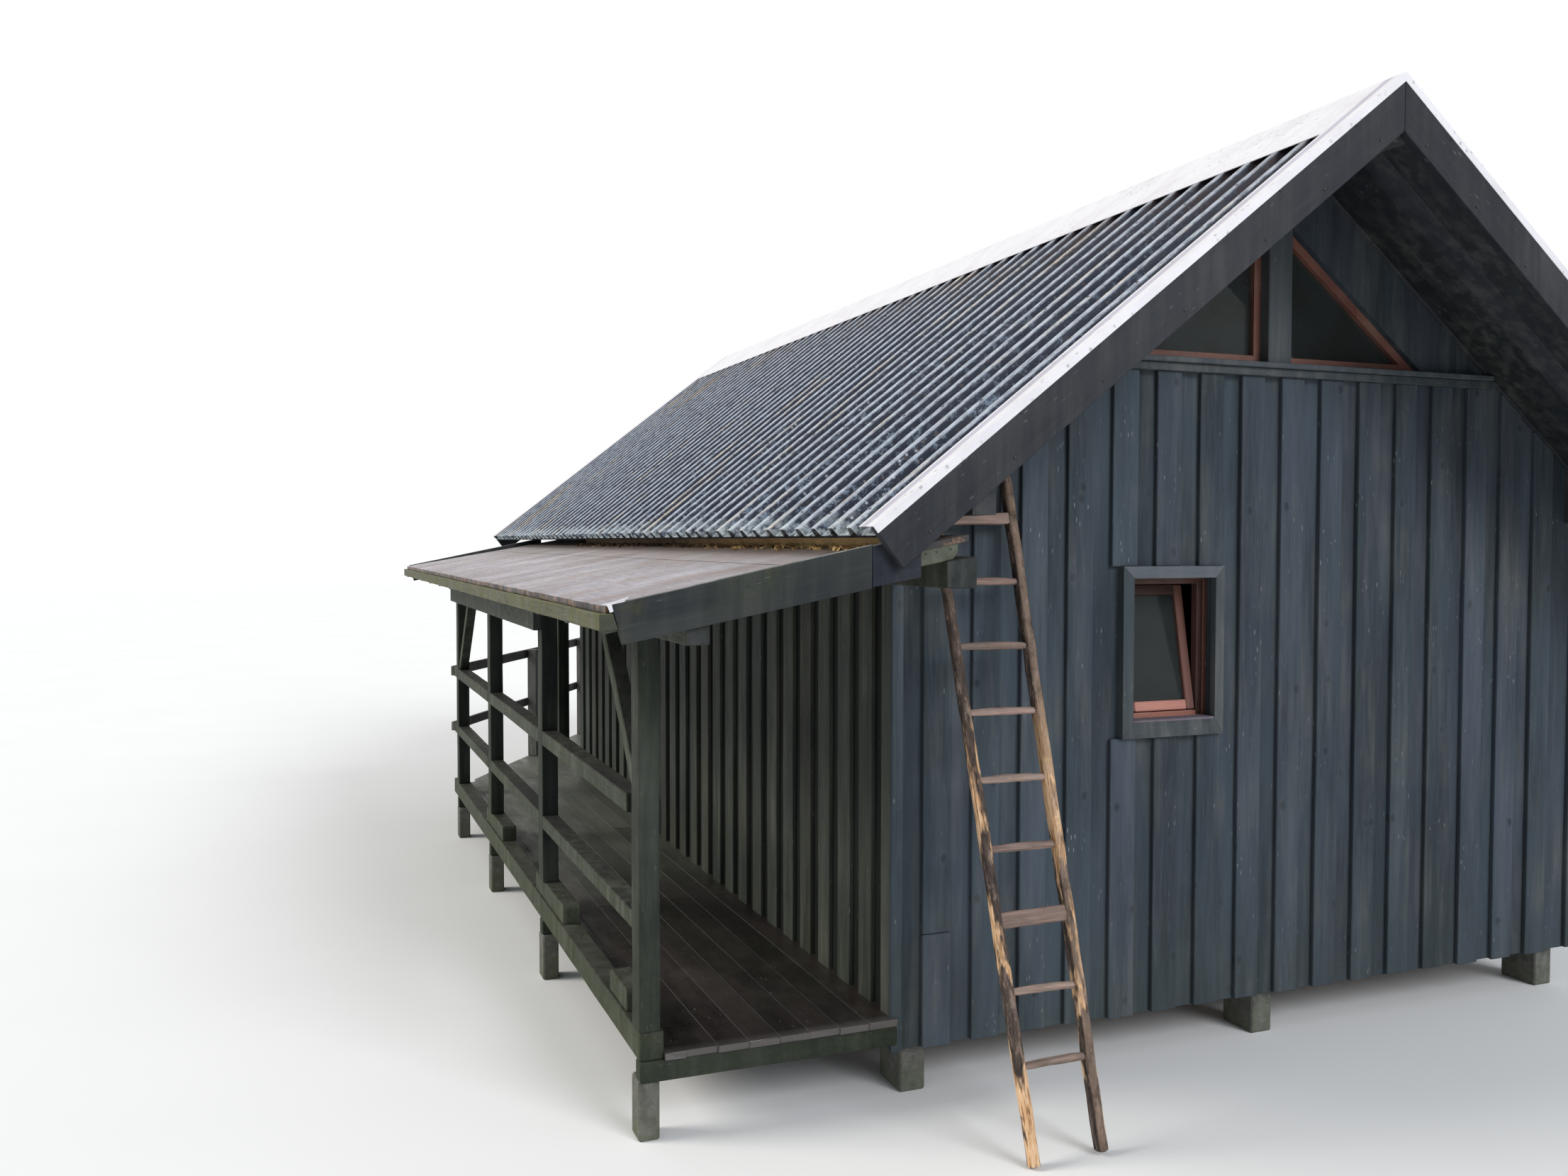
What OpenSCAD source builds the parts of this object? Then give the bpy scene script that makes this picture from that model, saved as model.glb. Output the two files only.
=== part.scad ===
// Timber tree house: a boarded hut with a pitched ribbed roof, a covered
// side deck on posts and a leaning ladder. Millimetres, +Z up, front at -Y.

/* [House] */
// width of the house over the raised boards
house_w = 3850; // [3200:10:4600]
// length of the house over the raised boards
house_l = 5900; // [5700:10:7000]
// thickness of the walls behind the raised boards
wall_t = 100; // [70:5:140]
// thickness of the raised cladding boards
board_t = 22; // [14:1:30]
// height of the underside of the walls over the ground
wall_base = 200; // [150:10:300]
// height of the top of the side walls
wall_top = 2361; // [2250:1:2450]

/* [Roof] */
// slope of the main roof in degrees
roof_pitch = 38; // [34:0.5:42]
// how far the eaves reach past the side walls
eave_out = 403; // [250:1:480]
// how far the roof reaches past the front gable
gable_out = 678; // [450:1:800]
// how far the roof reaches past the back gable
back_out = 2002; // [1500:1:2300]
// height of the roof line over the top of the side walls
roof_rise_at_wall = 272; // [240:1:320]
// depth of the bargeboards across the slope
barge_depth = 185; // [150:1:230]
// thickness of the bargeboards
barge_t = 38; // [25:1:50]
// distance from rib to rib of the roof sheets
rib_pitch = 166.5; // [140:0.5:200]
// height of the roof sheet ribs
rib_h = 34; // [20:1:45]
// width of a rib at its top
rib_top_w = 38; // [25:1:50]
// width of a rib at its foot
rib_foot_w = 62; // [50:1:80]
// thickness of the roof sheets
sheet_t = 3; // [2:0.5:6]
// thickness of the boards under the roof sheets
deck_t = 22; // [15:1:30]
// width of a ridge cap wing down the slope
cap_wing = 400; // [200:5:500]
// thickness of the ridge cap and the verge flashings
flash_t = 3; // [2:0.5:5]
// width of the verge flashing over the roof sheets
flash_w = 118; // [80:1:160]
// drop of the verge flashing down the bargeboard
flash_drop = 30; // [15:1:60]
// width of the wall plates and of the ridge beam
plate_w = 95; // [70:1:120]
// depth of the ridge beam
ridge_depth = 190; // [140:5:240]

/* [Gable Glazing] */
// height of the top of the gable sill
sill_top = 3066; // [2900:1:3150]
// height of the lower sill strip
sill_strip_h = 36; // [25:1:50]
// height of the upper sill strip
sill_nose_h = 24; // [15:1:35]
// how far the lower sill strip stands out
sill_strip_out = 16; // [8:1:30]
// how far the upper sill strip stands out
sill_nose_out = 34; // [20:1:50]
// distance of the glazing opening under the roof line
glaze_drop = 393; // [350:1:450]
// width of the gable frame members
glaze_bar = 38; // [25:1:50]
// depth of the gable frame members
glaze_depth = 50; // [30:1:70]
// how far the gable frames sit back from the raised boards
glaze_back = 55; // [30:1:70]
// width of the post between the gable panes
gable_post_w = 130; // [80:2:160]
// thickness of the glass panes
glass_t = 6; // [4:1:10]

/* [Window] */
// distance of the window opening from the left wall
win_x = 1135; // [900:5:1400]
// width of the window opening in the wall
win_w = 455; // [360:5:600]
// height of the underside of the window opening
win_z = 1469; // [1200:5:1600]
// height of the window opening
win_h = 651; // [500:5:750]
// width of the left trim board
trim_left = 61; // [40:1:90]
// width of the right trim board
trim_right = 39; // [25:1:90]
// width of the top trim board
trim_top = 52; // [35:1:90]
// width of the bottom trim board
trim_bottom = 65; // [40:1:90]
// how far the trim lies over the edge of the opening
trim_lap = 12; // [5:1:20]
// how far the trim stands out from the raised boards
trim_out = 20; // [10:1:30]
// width of the fixed window frame
win_bar = 42; // [30:1:55]
// how far the window frame sits back from the raised boards
win_back = 62; // [40:1:70]
// width of the sash members
sash_bar = 44; // [30:1:60]
// depth of the sash members
sash_depth = 34; // [25:1:45]
// clearance between the sash and its frame
sash_gap = 4; // [2:1:8]
// tilt of the sash towards the room in degrees
sash_tilt = 10.5; // [0:0.5:14]

/* [Foundation and Floor] */
// width of a foundation block
pier_w = 114; // [90:2:180]
// length of a foundation block
pier_l = 200; // [120:5:300]
// distance of the first blocks from the gable face
pier_in = 60; // [40:5:200]
// thickness of the house floor
floor_t = 40; // [30:1:60]
// depth of the floor beams
floor_beam_h = 100; // [80:5:140]
// width of the floor beams
floor_beam_w = 95; // [70:1:120]

/* [Deck] */
// how far the deck reaches out from the wall
deck_out = 1045; // [900:5:1200]
// height of the top of the deck boards
deck_top = 340; // [330:1:400]
// thickness of the deck boards
deck_board_t = 28; // [20:1:34]
// distance from deck board to deck board
deck_pitch = 127; // [110:1:150]
// gap between the deck boards
deck_gap = 5; // [3:1:10]
// depth of the beams across under the deck
deck_beam_h = 80; // [60:1:90]
// width of the beams across under the deck
deck_beam_w = 70; // [50:1:95]
// how far the deck boards reach past the front post
deck_front = 25; // [0:1:45]
// how far the front beam reaches past the front post
front_beam_out = 13; // [0:1:30]
// distance of the other beams from the front face of their posts
beam_set = 25; // [0:1:40]
// width of the kerb beam along the deck
kerb_w = 95; // [80:1:120]
// depth of the kerb beam
kerb_h = 100; // [70:1:120]
// height of the blocks on the kerb beam
kerb_block_h = 90; // [60:1:110]
// width of the blocks on the kerb beam
kerb_block_w = 84; // [60:1:100]
// distance of the blocks from the outer face of the kerb beam
block_in = 11; // [0:1:14]
// distance of the first block from the front post
block_gap = 130; // [60:5:250]
// length of the first block
block_l = 280; // [150:5:400]
// how far the second block reaches in front of its post
block_lead = 463; // [300:1:600]
// how far the third block reaches in front of its post
third_lead = 395; // [300:1:600]
// how far a block reaches past the front face of its post
block_tail = 260; // [150:5:350]

/* [Terrace] */
// how far the terrace reaches past the back gable
terrace_out = 2430; // [2320:10:3000]
// distance of the slanting terrace edge from the back gable at its start
turn_in = 240; // [200:5:300]
// turn of the slanting terrace edge in degrees
terrace_turn = 31; // [24:0.5:36]
// width of the posts that carry the roof over the terrace
roof_post_w = 95; // [80:1:95]
// distance of those posts from the back gable
roof_post_y = 900; // [600:5:1300]
// width of the terrace rail posts
rail_post_w = 82; // [60:1:100]

/* [Porch] */
// width of a porch post
post_w = 82; // [70:1:100]
// depth of a porch post along the deck
post_d = 110; // [80:1:130]
// distance from the front post to the second post
post_step = 1943; // [1700:1:2100]
// distance from the second post to the third post
third_step = 1797; // [1500:1:1900]
// distance of the last post from the back gable
last_post_in = 520; // [420:5:700]
// depth of the beam on the porch posts
porch_beam_h = 95; // [70:1:120]
// height of the underside of the porch beam at the wall
wall_beam_z = 2101; // [2050:1:2110]
// depth and width of the porch beam at the wall
wall_beam = 95; // [80:1:110]
// fall of the porch roof for one unit outwards
porch_fall = 0.176; // [0.15:0.002:0.2]
// fall of the underside of the porch rafters for one unit outwards
rafter_fall = 0.185; // [0.17:0.005:0.2]
// how far the porch roof reaches out from the wall
porch_out = 1338; // [1250:1:1500]
// thickness of the porch roof boards
porch_roof_t = 22; // [15:1:30]
// height of the porch roof top at the wall
porch_wall_z = 2290; // [2270:1:2310]
// width of a porch rafter
rafter_w = 48; // [35:1:70]
// number of porch rafters
rafter_count = 13; // [6:1:20]
// height of the lower edge of the verge board at its outer end
verge_low_z = 1937; // [1900:1:1960]
// height of the lower edge of the verge board at its inner end
verge_inner_z = 2141; // [2120:1:2160]
// distance of the inner end of the verge board from the wall
verge_inner = 199; // [150:1:260]
// distance of the outer end of the verge board from the wall at its foot
verge_foot = 1261; // [1200:1:1290]
// how far the outer end of the verge board leans out at its head
verge_lean = 37; // [0:1:60]
// how far the outer head of the verge board rises over the porch roof
verge_rise = 5; // [0:1:20]
// how far the inner head of the verge board rises over the porch roof
verge_inner_rise = 40; // [0:1:44]
// thickness of the boards on the porch roof edges
verge_t = 22; // [15:1:30]
// depth of the outer fascia
fascia_h = 54; // [40:1:80]
// how far the fascia rises past the underside of the porch roof boards
fascia_lap = 3; // [0:1:10]
// width of the return of the fascia on the front edge
fascia_return = 55; // [40:1:70]
// thickness of the board on the outer side of the porch posts
outer_board_t = 41; // [30:1:50]
// depth of the board on the outer side of the porch posts
outer_board_h = 120; // [80:1:140]
// height of the underside of the board on the outer side of the porch posts
outer_board_z = 1812; // [1780:1:1850]
// side of a square brace
brace_w = 62; // [40:1:80]
// height of the foot of the front brace on its post
brace_low = 1301; // [1200:5:1450]
// distance of the head of the front brace from its post
brace_run = 592; // [400:5:700]

/* [Rails] */
// height of the top of the upper rail
rail_top_z = 1294; // [1200:1:1400]
// depth of the upper rail
rail_top_h = 74; // [60:1:110]
// distance of the near end of the upper rail from the front face of the front post
rail_start = 186; // [120:1:220]
// height of the top of the lower rail
rail_mid_z = 858; // [700:1:950]
// depth of the lower rail
rail_mid_h = 68; // [50:1:95]
// thickness of the terrace rails
rail_t = 24; // [18:1:40]

/* [Ladder] */
// lean of the ladder from upright in degrees
ladder_lean = 15.3; // [10:0.1:18]
// distance of the left stile from the left wall at its foot
ladder_x_foot = 239; // [200:1:400]
// distance of the left stile from the left wall at its head
ladder_x_head = 158; // [140:1:400]
// distance between the stile centres at the foot
ladder_w_foot = 289; // [250:1:400]
// distance between the stile centres at the head
ladder_w_head = 348; // [250:1:400]
// radius of the round stile
stile_r = 25; // [18:1:32]
// width of the square stile
stile_w = 40; // [30:1:55]
// depth of the square stile
stile_d = 50; // [35:1:60]
// height of the lowest rung
rung_first = 340; // [250:2:420]
// distance from rung to rung
rung_step = 252; // [220:1:280]
// number of rungs
rung_count = 9; // [5:1:9]
// radius of a rung
rung_r = 17; // [12:1:22]

/* [Hidden] */
seat = 0.3;
cut = 1;
half_w = house_w / 2;
roof_far = house_l + back_out;
terrace_y = house_l + terrace_out;
terrace_y0 = house_l - board_t;
terrace_turn_y = house_l - turn_in;
t_pitch = tan(roof_pitch);
c_pitch = cos(roof_pitch);
s_pitch = sin(roof_pitch);
roof_line_wall = wall_top + roof_rise_at_wall;
ridge_z = roof_line_wall + half_w * t_pitch;
slope_len = (half_w + eave_out) / c_pitch;
roof_l = house_l + gable_out + back_out;
bay_l = roof_l - 2 * barge_t;
rib_d = flash_t;
pan_d = rib_d + rib_h;
sheet_bottom_d = pan_d + sheet_t;
deck_bottom_d = sheet_bottom_d + deck_t;
deck_drop = deck_bottom_d / c_pitch;
wall_in = board_t;
room_in = board_t + wall_t;
rib_count = floor((bay_l - 40) / rib_pitch);
rib_start = (bay_l - (rib_count - 1) * rib_pitch) / 2;
beam_bottom = ridge_z - deck_drop - ridge_depth;
glaze_z0 = sill_top;
glaze_apex = ridge_z - glaze_drop;
glaze_half = (glaze_apex - glaze_z0) / t_pitch;
floor_top = wall_base + floor_beam_h + floor_t;
rafter_end = porch_out - verge_t;
porch_front = barge_t - gable_out;
fascia_top = porch_wall_z - porch_fall * porch_out - porch_roof_t + fascia_lap;
post_x = -deck_out;
post_in = post_x + post_w;
beam_top_out = wall_beam_z + wall_beam - rafter_fall * (deck_out - wall_beam);
porch_beam_z = beam_top_out - porch_beam_h;
kerb_z = deck_top - deck_board_t + 8;
kerb_top = kerb_z + kerb_h;
block_top = kerb_top + kerb_block_h;
post_ys = [0, post_step, post_step + third_step, house_l - last_post_in];
post_z0s = [kerb_top, block_top, block_top, kerb_top];
beam_low = deck_top - deck_board_t - deck_beam_h;
deck_beam_ys = [-front_beam_out, post_ys[1] + beam_set, post_ys[2] + beam_set, post_ys[3] + beam_set];
terrace_beam_ys = [house_l + 120, house_l + roof_post_y + 10, terrace_y - 200];
head_z = wall_top + 176;
lean = tan(ladder_lean);
head_y = wall_in + seat - stile_r * cos(ladder_lean);
foot_y = head_y - head_z * lean;
stile_reach = stile_r * cos(2 * ladder_lean) / cos(ladder_lean);
win_x1 = win_x + win_w;
win_z1 = win_z + win_h;
flash_out = flash_t;
y_low = min(foot_y - stile_reach, -gable_out - flash_out);
y_high = max(house_l + back_out + flash_out, house_l + terrace_out + rail_t);
x_shift = (porch_out - house_w - eave_out) / 2;
y_shift = -(y_low + y_high) / 2;

module placed() {
    translate([x_shift, y_shift, 0])
        children();
}

// a prism along Y from y0 to y1 of an outline in X and Z
module along_y(y0, y1) {
    translate([0, y1, 0])
        rotate([90, 0, 0])
            linear_extrude(height = y1 - y0)
                children();
}

// a prism along X from x0 to x1 of an outline in Y and Z
module along_x(x0, x1) {
    translate([x0, 0, 0])
        rotate([90, 0, 90])
            linear_extrude(height = x1 - x0)
                children();
}

module box(x0, x1, y0, y1, z0, z1) {
    translate([x0, y0, z0])
        cube([x1 - x0, y1 - y0, z1 - z0]);
}

function roof_line(x) = ridge_z - abs(x - half_w) * t_pitch;
function porch_top(x) = porch_wall_z + porch_fall * x;
function porch_low(x) = wall_beam_z + wall_beam + rafter_fall * (x + wall_beam);

// the main roof frame: X runs up the slope from the eave, Z out of the roof
module left_slope() {
    translate([-eave_out, 0, ridge_z - (half_w + eave_out) * t_pitch])
        rotate([0, -roof_pitch, 0])
            children();
}

module mirrored() {
    translate([house_w, 0, 0])
        mirror([1, 0, 0])
            children();
}

// the same gable piece at the far end of the house
module turned() {
    translate([0, house_l, 0])
        mirror([0, 1, 0])
            children();
}

// the same verge piece at the far end of the roof
module far_end() {
    translate([0, roof_far - gable_out, 0])
        mirror([0, 1, 0])
            children();
}

function slant_x(y) = post_x + (y - terrace_turn_y) * tan(terrace_turn);

// foundation
module pier_blocks() {
    rows = 4;
    step = (house_l - 2 * pier_in - pier_l) / (rows - 1);
    for (i = [0 : rows - 1])
        for (x = [room_in + 5, half_w, house_w - room_in - 5])
            box(x - pier_w / 2, x + pier_w / 2, pier_in + i * step, pier_in + i * step + pier_l,
                0, wall_base + seat);
    for (y = post_ys)
        box(post_x, post_in, y + 10, y + 10 + post_d, 0, beam_low + seat);
    for (y = terrace_beam_ys)
        for (x = [slant_x(y) + 150, half_w, house_w - 150])
            box(x - pier_w / 2, x + pier_w / 2, y - 20, y + deck_beam_w + 20, 0, beam_low + seat);
}

module foundation_piers() {
    color("#8d8a84")
        placed()
            pier_blocks();
}

module floor_beams() {
    z0 = wall_base;
    color("#8a6b4a")
        placed()
            for (x = [room_in - seat, half_w - floor_beam_w / 2, house_w - room_in - floor_beam_w + seat])
                box(x, x + floor_beam_w, room_in - seat, house_l - room_in + seat, z0, z0 + floor_beam_h + seat);
}

module floor_panel() {
    box(room_in - seat, house_w - room_in + seat, room_in - seat, house_l - room_in + seat,
        wall_base + floor_beam_h, floor_top);
}

module house_floor() {
    color("#a58a68")
        placed()
            floor_panel();
}

// walls
module wall_outline() {
    x0 = wall_in;
    x1 = house_w - wall_in;
    polygon([
        [x0, wall_base],
        [x1, wall_base],
        [x1, roof_line(x1) - deck_drop],
        [half_w, ridge_z - deck_drop],
        [x0, roof_line(x0) - deck_drop]
    ]);
}

module plate_outline() {
    polygon([
        [0, wall_top],
        [plate_w, wall_top],
        [plate_w, roof_line(plate_w) - deck_drop + seat],
        [0, roof_line(0) - deck_drop + seat]
    ]);
}

module ridge_outline() {
    x0 = half_w - plate_w / 2;
    x1 = half_w + plate_w / 2;
    polygon([
        [x0, beam_bottom],
        [x1, beam_bottom],
        [x1, roof_line(x1) - deck_drop + seat],
        [half_w, ridge_z - deck_drop + seat],
        [x0, roof_line(x0) - deck_drop + seat]
    ]);
}

module glaze_outline() {
    polygon([
        [half_w - glaze_half, glaze_z0],
        [half_w + glaze_half, glaze_z0],
        [half_w, glaze_apex]
    ]);
    translate([half_w - gable_post_w / 2, glaze_z0])
        square([gable_post_w, beam_bottom - glaze_z0 + seat]);
}

module gable_wall_outline() {
    difference() {
        wall_outline();
        plate_outline();
        translate([house_w, 0])
            mirror([1, 0])
                plate_outline();
        ridge_outline();
        glaze_outline();
    }
}

module front_wall() {
    color("#6f8087")
        placed()
            along_y(wall_in, room_in)
                difference() {
                    gable_wall_outline();
                    translate([win_x, win_z])
                        square([win_w, win_h]);
                }
}

module back_wall() {
    color("#6f8087")
        placed()
            along_y(house_l - room_in, house_l - wall_in)
                gable_wall_outline();
}

module side_wall() {
    box(wall_in, room_in, room_in - seat, house_l - room_in + seat, wall_base, wall_top + seat);
}

module left_wall() {
    color("#6f8087")
        placed()
            side_wall();
}

module right_wall() {
    color("#6f8087")
        placed()
            mirrored()
                side_wall();
}

module wall_plates() {
    color("#8a7c66")
        placed()
            along_y(barge_t - gable_out - seat, roof_far - barge_t + seat) {
                plate_outline();
                translate([house_w, 0])
                    mirror([1, 0])
                        plate_outline();
            }
}

module ridge_beam() {
    color("#8a7c66")
        placed()
            along_y(barge_t - gable_out - seat, roof_far - barge_t + seat)
                ridge_outline();
}

// roof
module deck_half() {
    run = half_w + eave_out;
    along_y(barge_t - gable_out - seat, roof_far - barge_t + seat)
        intersection() {
            translate([-eave_out, ridge_z - run * t_pitch])
                rotate(roof_pitch)
                    translate([12, -deck_bottom_d])
                        square([slope_len, deck_t]);
            translate([-eave_out - cut, wall_base])
                square([run + cut, ridge_z]);
        }
}

module roof_deck_left() {
    color("#9b8a70")
        placed()
            deck_half();
}

module roof_deck_right() {
    color("#9b8a70")
        placed()
            mirrored()
                deck_half();
}

// the ribbed section of one roof sheet, along Y, with its ribs towards -Z
function rib_points(i) = let (y = rib_start + i * rib_pitch) [
    [y - rib_foot_w / 2, -pan_d],
    [y - rib_top_w / 2, -rib_d],
    [y + rib_top_w / 2, -rib_d],
    [y + rib_foot_w / 2, -pan_d]
];
function rib_under(i) = let (y = rib_start + i * rib_pitch) [
    [y + rib_foot_w / 2 - sheet_t / 2, -pan_d - sheet_t],
    [y + rib_top_w / 2 - sheet_t, -rib_d - sheet_t],
    [y - rib_top_w / 2 + sheet_t, -rib_d - sheet_t],
    [y - rib_foot_w / 2 + sheet_t / 2, -pan_d - sheet_t]
];
sheet_over = [for (i = [0 : rib_count - 1]) each rib_points(i)];
sheet_below = [for (i = [rib_count - 1 : -1 : 0]) each rib_under(i)];

module sheet_half() {
    left_slope()
        translate([0, barge_t - gable_out, 0])
            rotate([90, 0, 90])
                linear_extrude(height = slope_len - sheet_bottom_d * t_pitch - cut)
                    polygon(concat(
                        [[0, -pan_d]],
                        sheet_over,
                        [[bay_l, -pan_d], [bay_l, -pan_d - sheet_t]],
                        sheet_below,
                        [[0, -pan_d - sheet_t]]
                    ));
}

module roof_sheet_left() {
    color("#b9b3c4")
        placed()
            sheet_half();
}

module roof_sheet_right() {
    color("#b9b3c4")
        placed()
            mirrored()
                sheet_half();
}

// an outline in X and Z of a band along both slopes, d0 to d1 under the roof line
module slope_band(s0, s1, d0, d1) {
    intersection() {
        translate([-eave_out, ridge_z - (half_w + eave_out) * t_pitch])
            rotate(roof_pitch)
                translate([s0, -d1])
                    square([s1 - s0, d1 - d0]);
        translate([-house_w, 0])
            square([house_w + half_w, 2 * ridge_z]);
    }
}

module both_slopes() {
    children();
    translate([house_w, 0])
        mirror([1, 0])
            children();
}

module ridge_cap() {
    color("#c9c3cf")
        placed()
            along_y(flash_w - gable_out, roof_far - flash_w)
                both_slopes()
                    slope_band(slope_len - cap_wing, slope_len + 20, 0, flash_t);
}

module front_barge() {
    along_y(-gable_out, barge_t - gable_out)
        slope_band(0, slope_len + barge_depth, flash_t, barge_depth);
}

module bargeboard_front_left() {
    color("#7b8a92")
        placed()
            front_barge();
}

module bargeboard_front_right() {
    color("#7b8a92")
        placed()
            mirrored()
                front_barge();
}

module bargeboards_back() {
    color("#7b8a92")
        placed()
            far_end() {
                front_barge();
                mirrored()
                    front_barge();
            }
}

module flashing() {
    along_y(-gable_out - flash_t, flash_w - gable_out)
        both_slopes()
            slope_band(0, slope_len + 20, 0, flash_t);
    along_y(-gable_out - flash_t, -gable_out)
        both_slopes()
            slope_band(0, slope_len + 20, 0, flash_drop);
}

module verge_flashing_front() {
    color("#d4d0d6")
        placed()
            flashing();
}

module verge_flashing_back() {
    color("#d4d0d6")
        placed()
            far_end()
                flashing();
}

// window
module ring(x0, x1, z0, z1, left, right, low, high) {
    difference() {
        translate([x0, z0])
            square([x1 - x0, z1 - z0]);
        translate([x0 + left, z0 + low])
            square([x1 - x0 - left - right, z1 - z0 - low - high]);
    }
}

module window_trim() {
    color("#7a8a94")
        placed()
            along_y(-trim_out, wall_in + seat)
                ring(win_x + trim_lap - trim_left, win_x1 - trim_lap + trim_right,
                     win_z + trim_lap - trim_bottom, win_z1 - trim_lap + trim_top,
                     trim_left, trim_right, trim_bottom, trim_top);
}

module window_frame() {
    color("#7a4a38")
        placed()
            along_y(win_back, room_in)
                ring(win_x - seat, win_x1 + seat, win_z - seat, win_z1 + seat,
                     win_bar, win_bar, win_bar, win_bar);
}

module tilted() {
    z0 = win_z + win_bar + sash_depth * sin(sash_tilt) - seat;
    y0 = win_back + 20;
    translate([0, y0, z0])
        rotate([-sash_tilt, 0, 0])
            children();
}

module window_sash() {
    x0 = win_x + win_bar + sash_gap;
    x1 = win_x1 - win_bar - sash_gap;
    h = win_h - 2 * win_bar - sash_gap;
    color("#7a4a38")
        placed()
            tilted()
                along_y(0, sash_depth)
                    ring(x0, x1, 0, h, sash_bar, sash_bar, sash_bar, sash_bar);
}

module window_glass() {
    x0 = win_x + win_bar + sash_gap + sash_bar - seat;
    x1 = win_x1 - win_bar - sash_gap - sash_bar + seat;
    h = win_h - 2 * win_bar - sash_gap;
    y0 = sash_depth / 2;
    color("#9fb3b8")
        placed()
            tilted()
                box(x0, x1, y0, y0 + glass_t, sash_bar - seat, h - sash_bar + seat);
}

// gable glazing
module post_at_gable() {
    box(half_w - gable_post_w / 2, half_w + gable_post_w / 2, 0, room_in,
        glaze_z0 - seat, beam_bottom + seat);
}

module gable_post() {
    color("#7f8f9a")
        placed()
            post_at_gable();
}

module back_gable_post() {
    color("#7f8f9a")
        placed()
            turned()
                post_at_gable();
}

// the left pane opening, shrunk by a margin on each side
module pane_outline(m) {
    slope_m = m / c_pitch;
    x1 = half_w - gable_post_w / 2 - m;
    top = roof_line(x1) - glaze_drop - slope_m;
    z0 = glaze_z0 + m;
    x0 = half_w - (glaze_apex - slope_m - z0) / t_pitch;
    polygon([[x0, z0], [x1, z0], [x1, top]]);
}

module frames_at_gable() {
    along_y(glaze_back, glaze_back + glaze_depth)
        both_slopes()
            difference() {
                pane_outline(-seat);
                pane_outline(glaze_bar);
            }
}

module glass_at_gable() {
    y0 = glaze_back + glaze_depth / 2;
    along_y(y0, y0 + glass_t)
        both_slopes()
            pane_outline(glaze_bar - seat);
}

module gable_frames() {
    color("#7a4a38")
        placed()
            frames_at_gable();
}

module back_gable_frames() {
    color("#7a4a38")
        placed()
            turned()
                frames_at_gable();
}

module gable_glass() {
    color("#9fb3b8")
        placed()
            glass_at_gable();
}

module back_gable_glass() {
    color("#9fb3b8")
        placed()
            turned()
                glass_at_gable();
}

module sill_at_gable() {
    z0 = sill_top - sill_nose_h - sill_strip_h;
    z1 = sill_top - sill_nose_h;
    h0 = (ridge_z - deck_drop - z1) / t_pitch;
    h1 = (ridge_z - deck_drop - sill_top) / t_pitch;
    box(half_w - h0, half_w + h0, -sill_strip_out, wall_in + seat, z0, z1 + seat);
    box(half_w - h1, half_w + h1, -sill_nose_out, wall_in + seat, z1, sill_top);
}

module gable_sill() {
    color("#84949e")
        placed()
            sill_at_gable();
}

module back_gable_sill() {
    color("#84949e")
        placed()
            turned()
                sill_at_gable();
}

// deck
module deck_plan() {
    y1 = terrace_y0;
    polygon([
        [post_x, -deck_front],
        [wall_in + seat, -deck_front],
        [wall_in + seat, y1],
        [slant_x(y1), y1],
        [post_x, terrace_turn_y]
    ]);
}

module deck_boards() {
    x_out = post_x + kerb_w;
    count = floor((wall_in - x_out) / deck_pitch);
    color("#6f6d60")
        placed()
            translate([0, 0, deck_top - deck_board_t])
                linear_extrude(height = deck_board_t)
                    intersection() {
                        deck_plan();
                        union() {
                            for (i = [0 : count - 1])
                                translate([wall_in - (i + 1) * deck_pitch + deck_gap, -deck_front])
                                    square([deck_pitch - deck_gap + (i == 0 ? seat : 0), terrace_y]);
                            translate([x_out - seat, -deck_front])
                                square([wall_in - count * deck_pitch - x_out + seat, terrace_y]);
                        }
                    }
}

module deck_beams() {
    color("#5f6a70")
        placed()
            for (y = deck_beam_ys)
                box(post_x, wall_in + seat, y, y + deck_beam_w,
                    deck_top - deck_board_t - deck_beam_h, deck_top - deck_board_t + seat);
}

module deck_kerb() {
    x1 = post_x + kerb_w;
    xb = post_x + block_in;
    color("#647583")
        placed() {
            box(post_x, x1, 0, terrace_turn_y, deck_top - deck_board_t, kerb_top);
            kerb_block(xb, post_d + block_gap, post_d + block_gap + block_l);
            kerb_block(xb, post_ys[1] - block_lead, post_ys[1] + block_tail);
            kerb_block(xb, post_ys[2] - third_lead, post_ys[2] + block_tail);
        }
}

module kerb_block(x, y0, y1) {
    box(x, x + kerb_block_w, y0, y1, kerb_top - seat, block_top);
}

// porch
module porch_posts() {
    color("#5d7388")
        placed()
            for (i = [0 : len(post_ys) - 1])
                box(post_x, post_in, post_ys[i], post_ys[i] + post_d,
                    post_z0s[i] - seat, porch_beam_z + seat);
}

module porch_beam() {
    x0 = post_x;
    x1 = post_in;
    y1 = house_l - porch_front - verge_t;
    color("#8f8777")
        placed() {
            along_y(porch_front + verge_t - seat, y1 + seat)
                polygon([
                    [x0, porch_beam_z],
                    [x1, porch_beam_z],
                    [x1, porch_low(x1) + seat],
                    [x0, porch_low(x0) + seat]
                ]);
            box(x0 - outer_board_t, x0 + seat, post_ys[1], post_ys[3] + post_d,
                outer_board_z, outer_board_z + outer_board_h);
        }
}

module porch_wall_beam() {
    x0 = -wall_beam;
    x1 = wall_in + seat;
    color("#8f8777")
        placed()
            along_y(porch_front, house_l - porch_front)
                polygon([
                    [x0, wall_beam_z],
                    [x1, wall_beam_z],
                    [x1, porch_low(0) + seat],
                    [0, porch_low(0) + seat],
                    [x0, porch_low(x0) + seat]
                ]);
}

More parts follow.
